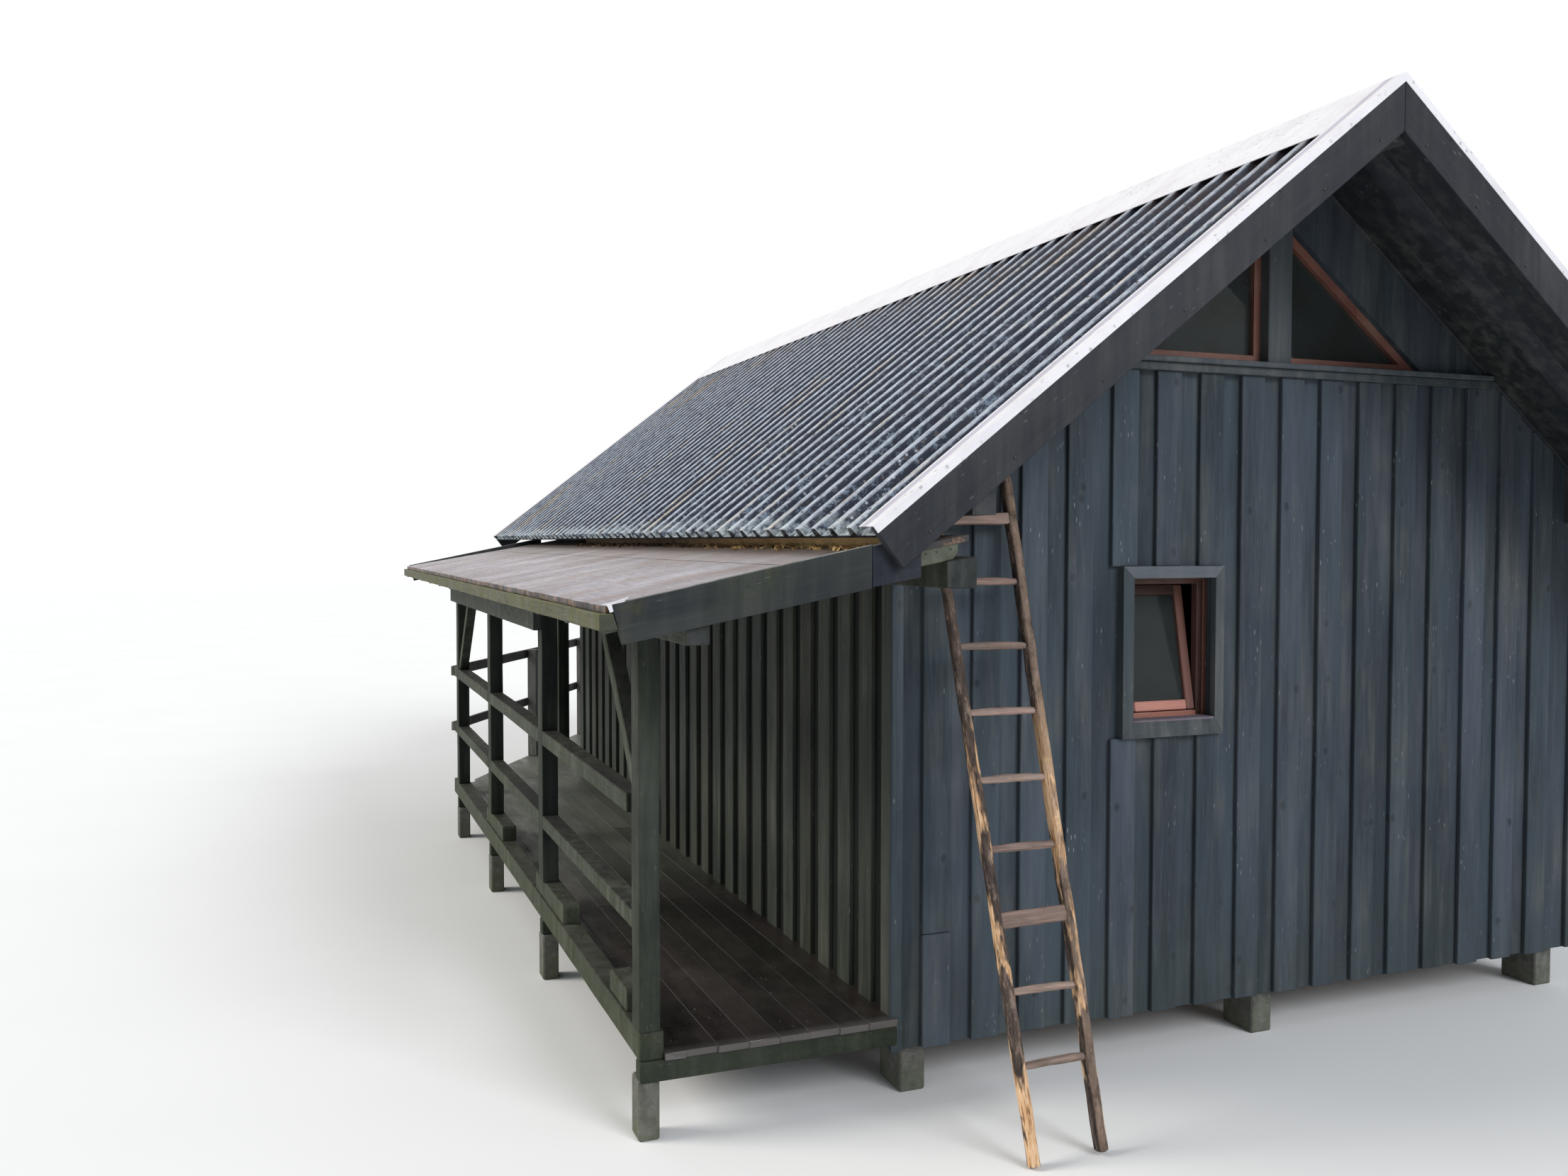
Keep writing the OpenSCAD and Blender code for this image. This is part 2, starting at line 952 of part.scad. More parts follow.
module porch_rafters() {
    x0 = -rafter_end;
    y_first = porch_front + verge_t;
    span = house_l - 2 * y_first - rafter_w;
    step = span / (rafter_count - 1);
    color("#7d7260")
        placed()
            for (i = [0 : rafter_count - 1])
                along_y(y_first + i * step, y_first + i * step + rafter_w)
                    polygon([
                        [x0, porch_low(x0)],
                        [0, porch_low(0)],
                        [0, porch_top(0) - porch_roof_t + seat],
                        [x0, porch_top(x0) - porch_roof_t + seat]
                    ]);
}

module porch_roof() {
    x0 = -rafter_end;
    y0 = porch_front + verge_t;
    color("#a9a4b0")
        placed()
            along_y(y0, house_l - y0)
                polygon([
                    [x0, porch_top(x0)],
                    [0, porch_top(0)],
                    [0, porch_top(0) - porch_roof_t],
                    [x0, porch_top(x0) - porch_roof_t]
                ]);
}

module verge_board() {
    x0 = -verge_foot;
    x1 = -verge_inner;
    xt = x0 - verge_lean;
    along_y(porch_front, porch_front + verge_t + seat)
        polygon([
            [xt, porch_top(xt) + verge_rise],
            [x0, verge_low_z],
            [x1, verge_inner_z],
            [x1, porch_top(x1) + verge_inner_rise]
        ]);
}

module porch_verge_boards() {
    color("#98928f")
        placed() {
            verge_board();
            turned()
                verge_board();
        }
}

module fascia_end() {
    x0 = -porch_out;
    x1 = x0 + fascia_return;
    z1 = fascia_top - fascia_h;
    along_y(porch_front, porch_front + verge_t + seat)
        polygon([
            [x0, z1],
            [x1 + verge_lean / 4, z1],
            [x1 - verge_lean / 4, fascia_top],
            [x0, fascia_top]
        ]);
}

module porch_fascia() {
    x1 = -rafter_end + seat;
    color("#8c8a4e")
        placed()
            union() {
                box(-porch_out, x1, porch_front, house_l - porch_front, fascia_top - fascia_h, fascia_top);
                fascia_end();
                turned()
                    fascia_end();
            }
}

// a square brace in the plane of the posts, from (y0, z0) up to (y1, z1)
module brace(y0, z0, y1, z1) {
    len = norm([y1 - y0, z1 - z0]);
    along_x(post_x + 8, post_x + 8 + brace_w)
        intersection() {
            translate([y0, z0])
                rotate(atan2(z1 - z0, y1 - y0))
                    translate([-len, -brace_w])
                        square([3 * len, brace_w]);
            translate([min(y0, y1), z0 - 2 * brace_w])
                square([abs(y1 - y0), porch_beam_z + seat - z0 + 2 * brace_w]);
        }
}

module porch_braces() {
    z1 = porch_beam_z + 20;
    color("#66788a")
        placed() {
            brace(post_d - seat, brace_low, post_d + brace_run, z1);
            brace(post_ys[3] + seat, brace_low + 45, post_ys[3] - brace_run, z1);
        }
}

// rails between the posts, and on to the terrace edge
module rail_run(y_start, z0, z1) {
    ends = [for (i = [1 : len(post_ys) - 1]) [post_ys[i - 1] + post_d - seat, post_ys[i] + seat]];
    last = post_ys[3] + post_d - seat;
    for (i = [0 : len(ends) - 1])
        box(post_x, post_in, i == 0 ? y_start : ends[i][0], ends[i][1], z0, z1);
    translate([0, 0, z0])
        linear_extrude(height = z1 - z0)
            polygon([
                [post_x, last],
                [post_in, last],
                [post_in, terrace_turn_y + post_w / tan(terrace_turn)],
                [post_x, terrace_turn_y + seat]
            ]);
}

module rail_top() {
    color("#63798d")
        placed()
            rail_run(rail_start, rail_top_z - rail_top_h, rail_top_z);
}

module rail_middle() {
    color("#63798d")
        placed()
            rail_run(post_d - seat, rail_mid_z - rail_mid_h, rail_mid_z);
}

// terrace behind the house
module terrace_floor() {
    color("#6f6d60")
        placed()
            translate([0, 0, deck_top - deck_board_t])
                linear_extrude(height = deck_board_t)
                    polygon([
                        [slant_x(terrace_y0), terrace_y0],
                        [house_w, terrace_y0],
                        [house_w, terrace_y],
                        [slant_x(terrace_y), terrace_y]
                    ]);
}

module terrace_beams() {
    color("#5f6a70")
        placed()
            for (y = terrace_beam_ys)
                box(slant_x(y) + 30, house_w, y, y + deck_beam_w, beam_low, deck_top - deck_board_t + seat);
}

slant_l = (terrace_y - terrace_turn_y) / cos(terrace_turn);

// the slanting edge: Y runs along it from the turn, X points into the terrace
module slant() {
    translate([post_x, terrace_turn_y, 0])
        rotate([0, 0, -terrace_turn])
            children();
}

module terrace_posts() {
    w = rail_post_w;
    z0 = deck_top - seat;
    far = terrace_y - w;
    slant_end = slant_l - w / cos(terrace_turn) - w * tan(terrace_turn);
    color("#63798d")
        placed() {
            slant()
                box(0, w, slant_l / 2, slant_l / 2 + w, z0, rail_top_z);
            slant()
                box(0, w, slant_end - w, slant_end, z0, rail_top_z);
            box(half_w, half_w + w, far, terrace_y, z0, rail_top_z);
            box(house_w - w, house_w, far, terrace_y, z0, rail_top_z);
        }
}

module terrace_rail(z0, z1) {
    corner = slant_x(terrace_y);
    translate([0, 0, z0])
        linear_extrude(height = z1 - z0)
            union() {
                translate([post_x, terrace_turn_y])
                    rotate(-terrace_turn)
                        translate([-rail_t, 0])
                            square([rail_t + seat, slant_l + rail_t / 2]);
                translate([corner - rail_t / 2, terrace_y - seat])
                    square([house_w + rail_t - corner + rail_t / 2, rail_t + seat]);
                translate([house_w - seat, terrace_y0])
                    square([rail_t + seat, terrace_y + rail_t - terrace_y0]);
            }
}

module terrace_rails() {
    color("#63798d")
        placed() {
            terrace_rail(rail_top_z - rail_top_h, rail_top_z - seat);
            terrace_rail(rail_mid_z - rail_mid_h, rail_mid_z);
        }
}

module roof_posts() {
    y0 = house_l + roof_post_y;
    color("#5d7388")
        placed()
            for (x = [0, house_w - roof_post_w])
                box(x, x + roof_post_w, y0, y0 + roof_post_w, deck_top - seat, wall_top + seat);
}

// ladder
function stile_x(z, foot, head) = foot + (head - foot) * z / head_z;
right_foot = ladder_x_foot + ladder_w_foot;
right_head = ladder_x_head + ladder_w_head;

module stile_axis(foot, head) {
    dx = head - foot;
    len = norm([dx, head_y - foot_y, head_z]);
    translate([foot, foot_y, 0])
        rotate([0, acos(head_z / len), atan2(head_y - foot_y, dx)])
            children();
}

module ladder_stiles() {
    len_l = norm([ladder_x_head - ladder_x_foot, head_y - foot_y, head_z]);
    len_r = norm([right_head - right_foot, head_y - foot_y, head_z]);
    start_l = stile_r * tan(acos(head_z / len_l));
    start_r = stile_d / 2 * tan(acos(head_z / len_r)) + seat;
    turn_r = atan2(head_y - foot_y, right_head - right_foot);
    color("#8a7d68")
        placed() {
            stile_axis(ladder_x_foot, ladder_x_head)
                translate([0, 0, start_l])
                    cylinder(r = stile_r, h = len_l - start_l, $fn = 48);
            stile_axis(right_foot, right_head)
                rotate([0, 0, 90 - turn_r])
                    translate([-stile_w / 2, -stile_d / 2, start_r])
                        cube([stile_w, stile_d, len_r - start_r]);
        }
}

module ladder_rungs() {
    color("#8a7d68")
        placed()
            for (i = [0 : rung_count - 1]) {
                z = rung_first + i * rung_step;
                x0 = stile_x(z, ladder_x_foot, ladder_x_head) + stile_r - seat;
                x1 = stile_x(z, right_foot, right_head) - stile_w / 2 + seat;
                y = foot_y + (head_y - foot_y) * z / head_z;
                translate([x0, y, z])
                    rotate([0, 90, 0])
                        cylinder(r = rung_r, h = x1 - x0, $fn = 36);
            }
}

foundation_piers();
floor_beams();
house_floor();  // floor
front_wall();
back_wall();
left_wall();
right_wall();
wall_plates();
ridge_beam();
roof_deck_left();
roof_deck_right();
roof_sheet_left();
roof_sheet_right();
ridge_cap();
bargeboard_front_left();
bargeboard_front_right();
bargeboards_back();
verge_flashing_front();
verge_flashing_back();
window_trim();
window_frame();
window_sash();
window_glass();
gable_post();
gable_frames();
gable_glass();
gable_sill();
back_gable_post();
back_gable_frames();
back_gable_glass();
back_gable_sill();
porch_posts();
porch_beam();
porch_wall_beam();
porch_rafters();
porch_roof();
porch_verge_boards();
porch_fascia();
porch_braces();
rail_top();
rail_middle();
deck_boards();
deck_beams();
deck_kerb();
terrace_floor();
terrace_beams();
terrace_posts();
terrace_rails();
roof_posts();
ladder_stiles();
ladder_rungs();
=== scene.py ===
"""Dresses the tree house: cladding boards, timber with worn edges, roof metal,
deck, rails, ladder, window and small parts, on the fixed frame of its solids."""

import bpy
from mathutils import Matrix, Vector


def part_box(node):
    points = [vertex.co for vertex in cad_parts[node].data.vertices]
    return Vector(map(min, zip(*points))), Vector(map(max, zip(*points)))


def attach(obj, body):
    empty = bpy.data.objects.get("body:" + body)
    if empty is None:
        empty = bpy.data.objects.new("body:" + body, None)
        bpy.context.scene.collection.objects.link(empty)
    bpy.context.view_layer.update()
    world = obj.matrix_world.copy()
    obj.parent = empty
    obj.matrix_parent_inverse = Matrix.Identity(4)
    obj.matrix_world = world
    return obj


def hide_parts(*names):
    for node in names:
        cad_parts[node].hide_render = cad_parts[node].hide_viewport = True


bl_info = {
    "name": "Tree House Dressing",
    "version": (1, 0, 0),
    "blender": (4, 5, 0),
    "location": "3D View > Sidebar > Tree House",
    "description": "Boards, finishes and small parts of a timber tree house",
    "category": "Object",
}

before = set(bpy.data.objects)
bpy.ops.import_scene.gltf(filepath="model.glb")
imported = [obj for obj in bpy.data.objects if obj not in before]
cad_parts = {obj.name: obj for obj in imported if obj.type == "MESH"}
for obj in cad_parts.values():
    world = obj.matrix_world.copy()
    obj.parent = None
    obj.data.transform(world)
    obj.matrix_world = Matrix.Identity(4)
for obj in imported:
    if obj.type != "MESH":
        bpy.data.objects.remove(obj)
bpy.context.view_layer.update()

import math
import random

import bmesh
import bpy
from bpy.props import FloatProperty, FloatVectorProperty, IntProperty, PointerProperty
from mathutils import Euler, Vector, noise

# Sizes of repeated pieces, in metres, and how deep the two faces of the roof
# boards lie under the roof line.
BOARD_T, BOARD_PITCH = 0.022, 0.225
BARGE_T = 0.038
RIB_PITCH = 0.1665
ROOF_BOARD_TOP, ROOF_BOARD_FOOT = 0.040, 0.062

# The house's own measuring frame, in metres: X from the left wall's raised
# boards, Y from the front gable's raised boards, Z from the ground.
front_low, front_high = (Vector(corner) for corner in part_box("front_wall"))
X0 = front_low.x - BOARD_T
Y0 = front_low.y - BOARD_T
ORIGIN = Vector((X0, Y0, 0.0))
HOUSE_W = front_high.x + BOARD_T - X0
HOUSE_L = Vector(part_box("back_wall")[1]).y + BOARD_T - Y0
WALL_BASE = front_low.z
WALL_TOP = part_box("left_wall")[1][2]
PITCH = math.radians(38.0)
TAN_P, COS_P, SIN_P = math.tan(PITCH), math.cos(PITCH), math.sin(PITCH)
RIDGE_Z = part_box("verge_flashing_front")[1][2]
EAVE_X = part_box("roof_sheet_left")[0][0] - X0
SLOPE_L = (HOUSE_W / 2 - EAVE_X) / COS_P
ROOF_Y0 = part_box("bargeboard_front_left")[0][1] - Y0
ROOF_Y1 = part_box("bargeboards_back")[1][1] - Y0
DECK_DROP = ROOF_BOARD_FOOT / COS_P

ACROSS, ALONG, UP = (Vector(axis) for axis in ((1, 0, 0), (0, 1, 0), (0, 0, 1)))
LEFT, FRONT = -ACROSS, -ALONG


def at(x, y, z):
    """A place in the house's own measuring frame, as a place in the scene."""
    return Vector((X0 + x, Y0 + y, z))


def node_box(name):
    """The lowest and highest corner of a solid in the house's own frame."""
    low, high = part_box(name)
    return Vector(low) - ORIGIN, Vector(high) - ORIGIN


def roof_line(x):
    """Height of the roof line over a place between the eaves."""
    return RIDGE_Z - abs(x - HOUSE_W / 2) * TAN_P


def slope_point(s, d, y, left=True):
    """A place s up the slope from the eave, d under the roof line."""
    x = EAVE_X + s * COS_P + d * SIN_P
    z = RIDGE_Z - (HOUSE_W / 2 - EAVE_X) * TAN_P + s * SIN_P - d * COS_P
    return at(x if left else HOUSE_W - x, y, z)


# properties


def metres(name, default, description):
    """A property in metres."""
    return FloatProperty(name=name, description=description, default=default, unit="LENGTH")


def paint(name, default, description):
    """A property that is a colour."""
    return FloatVectorProperty(name=name, description=description, default=default, subtype="COLOR", size=3,
                               min=0, max=1)


class CladdingSizes(bpy.types.PropertyGroup):
    """Sizes of the wall cladding."""

    board_width: metres("Board width", 0.127, "Width of a raised board")
    board_pitch: metres("Board pitch", BOARD_PITCH, "Distance from raised board to raised board")
    first_gable: metres("First gable board", 0.143, "Left edge of the gable's first raised board")
    first_side: metres("First side board", 0.204, "Front edge of the side's first raised board")
    corner_width: metres("Corner board", 0.050, "Width of a gable corner board")
    joint_height: metres("Joint height", 0.665, "Height of the joint in the first gable board")
    soffit_board: metres("Roof board", 0.127, "Width of the boards under the roof sheets")
    edge: metres("Edge", 0.003, "Width of a board's eased edge")


class TimberSizes(bpy.types.PropertyGroup):
    """Sizes of the worn timber."""

    wobble: metres("Wobble", 0.0016, "How far old timber wanders from straight")
    edge: metres("Edge", 0.004, "Width of a beam's worn edge")
    deck_board: metres("Deck board", 0.1262, "Width of a deck board")
    deck_pitch: metres("Deck pitch", 0.127, "Distance from deck board to deck board")
    screw_radius: metres("Screw head", 0.0065, "Radius of a screw head")
    cover_joint: metres("Covering joint", 0.612, "Distance of the covering's long joint from the wall")


class FinishColours(bpy.types.PropertyGroup):
    """Colours of the finishes."""

    stain: paint("Stain", (0.041, 0.053, 0.067), "Dark stain of the gable boards")
    stain_side: paint("Side stain", (0.032, 0.038, 0.034), "Dark stain under the covered deck")
    red_wood: paint("Frame wood", (0.330, 0.135, 0.100), "Reddish window wood")
    roof: paint("Roof", (0.010, 0.013, 0.025), "Coating of the roof sheets")
    # The crown colour is mostly a painted highlight, the sky's reflection on the rib tops, with some real
    # wear.
    crown_highlight: paint("Rib crowns", (0.430, 0.475, 0.550), "Painted highlight and wear on the roof rib tops")
    flashing: paint("Flashing", (0.72, 0.71, 0.75), "Pale metal of the flashings")
    ladder: paint("Ladder", (0.058, 0.040, 0.030), "Weathered ladder wood")


class LitterSizes(bpy.types.PropertyGroup):
    """Fallen leaves between the two roofs."""

    leaf_count: IntProperty(name="Leaves", description="How many leaves lie in the gap", default=1000)
    roll_radius: metres("Roll radius", 0.055, "Half the thickness of the packed leaves")
    seed: IntProperty(name="Seed", description="Seed of the scatter", default=11)


SETTINGS = {"th_cladding": CladdingSizes, "th_timber": TimberSizes, "th_colours": FinishColours,
            "th_litter": LitterSizes}


# node writing

GROUPS = {}
MATERIALS = {}


class Graph:
    """Writes nodes into one tree with short calls."""

    def __init__(self, tree):
        self.nodes = tree.nodes
        self.links = tree.links

    def put(self, kind, **values):
        """A new node with some of its settings."""
        node = self.nodes.new(kind)
        for key, value in values.items():
            setattr(node, key, value)
        return node

    def feed(self, socket, value):
        """Links an output to a socket or sets it to a plain value; None leaves the socket as it is."""
        if isinstance(value, bpy.types.NodeSocket):
            self.links.new(value, socket)
        elif value is not None:
            if hasattr(socket.default_value, "__len__") and not hasattr(value, "__len__"):
                value = [value] * len(socket.default_value)
            if hasattr(value, "__len__") and len(socket.default_value) == 4 and len(value) == 3:
                value = (*value, 1.0)
            socket.default_value = value

    def math(self, operation, a, b=None, clamp=False):
        node = self.put("ShaderNodeMath", operation=operation, use_clamp=clamp)
        self.feed(node.inputs[0], a)
        self.feed(node.inputs[1], b)
        return node.outputs[0]

    def times(self, a, b, clamp=False):
        return self.math("MULTIPLY", a, b, clamp)

    def plus(self, a, b, clamp=False):
        return self.math("ADD", a, b, clamp)

    def minus(self, a, b):
        return self.math("SUBTRACT", a, b)

    def zigzag(self, value, scale):
        """A value scaled, then folded back and forth between 0 and 1."""
        return self.math("PINGPONG", self.times(value, scale), 1.0)

    def vector(self, operation, a, b):
        node = self.put("ShaderNodeVectorMath", operation=operation)
        self.feed(node.inputs[0], a)
        self.feed(node.inputs[1], b)
        return node.outputs["Value" if operation == "DOT_PRODUCT" else "Vector"]

    def stretch(self, vector, x, y, z):
        """Coordinates scaled along each axis; a scale under 1 draws a pattern out."""
        return self.vector("MULTIPLY", vector, (x, y, z))

    def noise(self, vector, scale, detail=3.0, rough=0.55, distortion=0.0):
        node = self.put("ShaderNodeTexNoise")
        for name, value in (("Vector", vector), ("Scale", scale), ("Detail", detail), ("Roughness", rough),
                            ("Distortion", distortion)):
            self.feed(node.inputs[name], value)
        return node.outputs["Fac"]

    def cells(self, vector, scale, flat=False):
        """Distance to the nearest of many scattered points."""
        node = self.put("ShaderNodeTexVoronoi", voronoi_dimensions="2D" if flat else "3D")
        self.feed(node.inputs["Vector"], vector)
        self.feed(node.inputs["Scale"], scale)
        return node.outputs["Distance"]

    def mix(self, factor, a, b, blend="MIX"):
        node = self.put("ShaderNodeMix", data_type="RGBA", blend_type=blend)
        sockets = {socket.identifier: socket for socket in (*node.inputs, *node.outputs)}
        self.feed(node.inputs["Factor"], factor)
        self.feed(sockets["A_Color"], a)
        self.feed(sockets["B_Color"], b)
        return sockets["Result_Color"]

    def scaled(self, body, value):
        """A colour multiplied by a value."""
        return self.mix(1.0, body, self.join(value, value, value), "MULTIPLY")

    def span(self, value, low, high, to_low=0.0, to_high=1.0, smooth=False):
        """A value mapped from low..high to to_low..to_high, and held there outside it."""
        node = self.put("ShaderNodeMapRange", clamp=True)
        if smooth:
            node.interpolation_type = "SMOOTHSTEP"
        for name, number in (("Value", value), ("From Min", low), ("From Max", high), ("To Min", to_low),
                             ("To Max", to_high)):
            self.feed(node.inputs[name], number)
        return node.outputs["Result"]

    def split(self, vector):
        node = self.put("ShaderNodeSeparateXYZ")
        self.feed(node.inputs[0], vector)
        return node.outputs

    def join(self, x, y, z):
        node = self.put("ShaderNodeCombineXYZ")
        for socket, value in zip(node.inputs, (x, y, z)):
            self.feed(socket, value)
        return node.outputs[0]

    def place(self):
        """Coordinates measured from the house's own zero point."""
        return self.vector("SUBTRACT", self.put("ShaderNodeTexCoord").outputs["Object"], ORIGIN)

    def normal(self):
        return self.put("ShaderNodeNewGeometry").outputs["Normal"]

    def attribute(self, name, output):
        return self.put("ShaderNodeAttribute", attribute_name=name).outputs[output]

    def group(self, name, **values):
        """The outputs of a shared group; an underscore stands for a space in a socket's name."""
        node = self.put("ShaderNodeGroup", node_tree=GROUPS[name])
        for key, value in values.items():
            self.feed(node.inputs[key.replace("_", " ")], value)
        return node.outputs

    def surface(self, body, roughness, bumps=None, **plain):
        """Feeds a material's shader. Bumps are a height, a strength and a depth; the rest goes in by name."""
        shader = self.nodes["Principled BSDF"].inputs
        self.feed(shader["Base Color"], body)
        self.feed(shader["Roughness"], roughness)
        for key, value in plain.items():
            shader[key.replace("_", " ")].default_value = value
        if bumps:
            node = self.put("ShaderNodeBump")
            for name, value in zip(("Height", "Strength", "Distance"), bumps):
                self.feed(node.inputs[name], value)
            self.feed(shader["Normal"], node.outputs["Normal"])


SOCKET_KINDS = {float: "NodeSocketFloat", Vector: "NodeSocketVector", tuple: "NodeSocketColor"}


def start_group(name, inputs, outputs=("Colour",)):
    """A new shared group: its graph, its inputs and its outputs. A default's type gives its input's kind."""
    tree = GROUPS[name] = bpy.data.node_groups.new(name, "ShaderNodeTree")
    for label, default in inputs.items():
        kind = SOCKET_KINDS[type(default)]
        socket = tree.interface.new_socket(name=label, in_out="INPUT", socket_type=kind)
        socket.default_value = (*default, 1.0) if isinstance(default, tuple) else default
    for label in outputs:
        kind = SOCKET_KINDS[tuple if label == "Colour" else float]
        tree.interface.new_socket(name=label, in_out="OUTPUT", socket_type=kind)
    graph = Graph(tree)
    return graph, graph.put("NodeGroupInput").outputs, graph.put("NodeGroupOutput").inputs


def start_material(key, name):
    """A new material, kept under its key, and its graph."""
    material = MATERIALS[key] = bpy.data.materials.new(name)
    material.use_nodes = True
    return Graph(material.node_tree)


# shared effects


def build_board_grain():
    """Grain of a stained board: Z runs along the board."""
    g, i, o = start_group(
        "Board Grain",
        {"Vector": Vector(), "Tone": 0.5, "Colour": (0.05, 0.06, 0.08), "Dark": (0.02, 0.024, 0.03),
         "Pale": (0.16, 0.17, 0.18), "Streaks": 0.5, "Wear": 0.3, "Knots": 0.5, "Chips": 0.3, "Spread": 0.35},
        ("Colour", "Roughness", "Height"))
    tone, dark, pale = i["Tone"], i["Dark"], i["Pale"]
    shift = g.join(g.times(tone, 17.3), g.times(tone, 9.1), g.times(tone, 31.7))
    place = g.vector("ADD", i["Vector"], shift)
    drawn = g.stretch(place, 1.0, 1.0, 0.055)
    fibre = g.noise(drawn, 150.0, 4.0, 0.6)
    rings = g.zigzag(g.noise(drawn, 26.0, 3.0, 0.55, 0.6), 9.0)
    broad = g.noise(g.stretch(place, 1.0, 1.0, 0.16), 5.0, 3.0, 0.5)
    across, deep, along = g.split(place)
    knot_place = g.join(g.plus(across, deep), g.times(along, 0.70), 0.0)
    rough_edge = g.span(g.noise(place, 34.0, 3.0, 0.6), 0.3, 0.7, 0.7, 1.4)
    near_knot = g.times(g.cells(knot_place, 3.1, flat=True), rough_edge)
    knot = g.times(g.span(near_knot, 0.046, 0.034, smooth=True), i["Knots"])
    collar = g.times(g.span(near_knot, 0.120, 0.045, smooth=True), i["Knots"])
    knot_rings = g.times(g.zigzag(near_knot, 62.0), collar)
    body = g.mix(g.times(g.span(rings, 0.2, 0.9), g.times(i["Streaks"], 0.55)), i["Colour"], dark)
    body = g.mix(g.times(g.span(fibre, 0.42, 0.62), g.times(i["Streaks"], 0.45)), body, dark)
    body = g.mix(g.span(broad, 0.38, 0.66, 0.0, 0.35), body, pale)
    body = g.scaled(body, g.plus(1.0, g.times(g.minus(tone, 0.45), i["Spread"])))
    hue = g.mix(g.zigzag(tone, 5.3), (0.97, 1.01, 0.99), (1.03, 0.99, 1.02))
    body = g.mix(1.0, body, hue, "MULTIPLY")
    scuff = g.times(g.span(g.noise(drawn, 60.0, 5.0, 0.7), 0.57, 0.70),
                    g.span(g.noise(place, 3.3, 3.0, 0.6), 0.45, 0.66))
    body = g.mix(g.times(scuff, i["Wear"], clamp=True), body, pale)
    chip = g.times(g.span(g.cells(g.stretch(place, 1.0, 1.0, 0.20), 62.0), 0.17, 0.10),
                   g.span(g.noise(place, 4.1, 3.0, 0.6), 0.52, 0.66))
    body = g.mix(g.times(chip, i["Chips"], clamp=True), body, g.mix(0.35, pale, (0.55, 0.56, 0.55)))
    body = g.mix(g.times(collar, 0.16), body, pale)
    body = g.mix(g.times(knot_rings, 0.35), body, dark)
    body = g.mix(g.times(knot, 0.60), body, dark)
    g.feed(o["Colour"], body)
    g.feed(o["Roughness"], g.span(g.plus(fibre, broad), 0.6, 1.4, 0.50, 0.78))
    height = g.plus(g.times(fibre, 0.55), g.times(rings, 0.22))
    g.feed(o["Height"], g.plus(height, g.times(g.plus(collar, knot_rings), 0.5)))


def build_weather():
    """Algae, dust and rain marks over any outdoor finish, by place on the house."""
    g, i, o = start_group(
        "Weathering",
        {"Vector": Vector(), "Colour": (0.05, 0.06, 0.08), "Algae Colour": (0.075, 0.088, 0.040),
         "Algae": 0.3, "Dust Colour": (0.20, 0.20, 0.19), "Dust": 0.2, "Damp Height": 0.9, "Damp": 0.4})
    place = i["Vector"]
    patches = g.span(g.noise(place, 1.7, 4.0, 0.6), 0.43, 0.68)
    grit = g.span(g.noise(place, 38.0, 4.0, 0.65), 0.40, 0.64)
    streak = g.span(g.noise(g.stretch(place, 1.0, 1.0, 0.08), 16.0, 4.0, 0.6), 0.44, 0.66)
    damp = g.times(g.span(g.split(place)[2], 0.0, i["Damp Height"], 1.0, 0.0, True), i["Damp"])
    algae = g.times(g.plus(g.times(patches, i["Algae"]), damp), g.plus(0.45, g.times(grit, 0.55)), clamp=True)
    dust = g.times(g.times(streak, g.plus(0.3, patches)), i["Dust"], clamp=True)
    g.feed(o["Colour"], g.mix(algae, g.mix(dust, i["Colour"], i["Dust Colour"]), i["Algae Colour"]))


def build_facing():
    """Tints the faces that look one way: moss and bleaching on some timbers, painted light and shade on
    others.
    """
    g, i, o = start_group(
        "Side Weather And Light",
        {"Vector": Vector(), "Colour": (0.05, 0.06, 0.08), "Growth": (0.16, 0.17, 0.05),
         "Direction": Vector((0.0, 0.0, 1.0)), "Scale": 9.0, "Cover": 0.5, "Amount": 0.5})
    facing = g.span(g.vector("DOT_PRODUCT", g.normal(), i["Direction"]), 0.45, 0.80, smooth=True)
    half_cover = g.times(i["Cover"], 0.5)
    patch = g.span(g.noise(i["Vector"], i["Scale"], 5.0, 0.65), g.minus(0.66, half_cover),
                   g.minus(0.82, half_cover))
    mask = g.times(g.times(facing, patch), i["Amount"], clamp=True)
    g.feed(o["Colour"], g.mix(mask, i["Colour"], i["Growth"]))


def build_specks():
    """Scattered specks of lichen, droppings or debris."""
    g, i, o = start_group(
        "Specks", {"Vector": Vector(), "Colour": (0.05, 0.06, 0.08), "Speck": (0.6, 0.6, 0.58), "Scale": 40.0,
                   "Amount": 0.5})
    zone = g.span(g.noise(i["Vector"], 2.3, 4.0, 0.6), 0.44, 0.62)
    near = g.span(g.cells(i["Vector"], i["Scale"]), 0.26, 0.12)
    mask = g.times(g.times(near, zone), i["Amount"], clamp=True)
    g.feed(o["Colour"], g.mix(mask, i["Colour"], i["Speck"]))


# finishes


def board_coordinates(g, place, axis=None):
    """Grain coordinates and tone: from the board itself, or along an axis for a kept solid."""
    if axis is None:
        return g.attribute("grain", "Vector"), g.attribute("tone", "Fac")
    xyz = g.split(place)
    order = {"X": (1, 2, 0), "Y": (0, 2, 1), "Z": (0, 1, 2)}[axis]
    step = g.math("FLOOR", g.math("DIVIDE", g.plus(xyz[0], xyz[1]), BOARD_PITCH))
    scattered = g.times(g.math("SINE", g.times(step, 12.9898)), 43.7585)
    return g.join(*(xyz[k] for k in order)), g.math("FRACT", scattered)


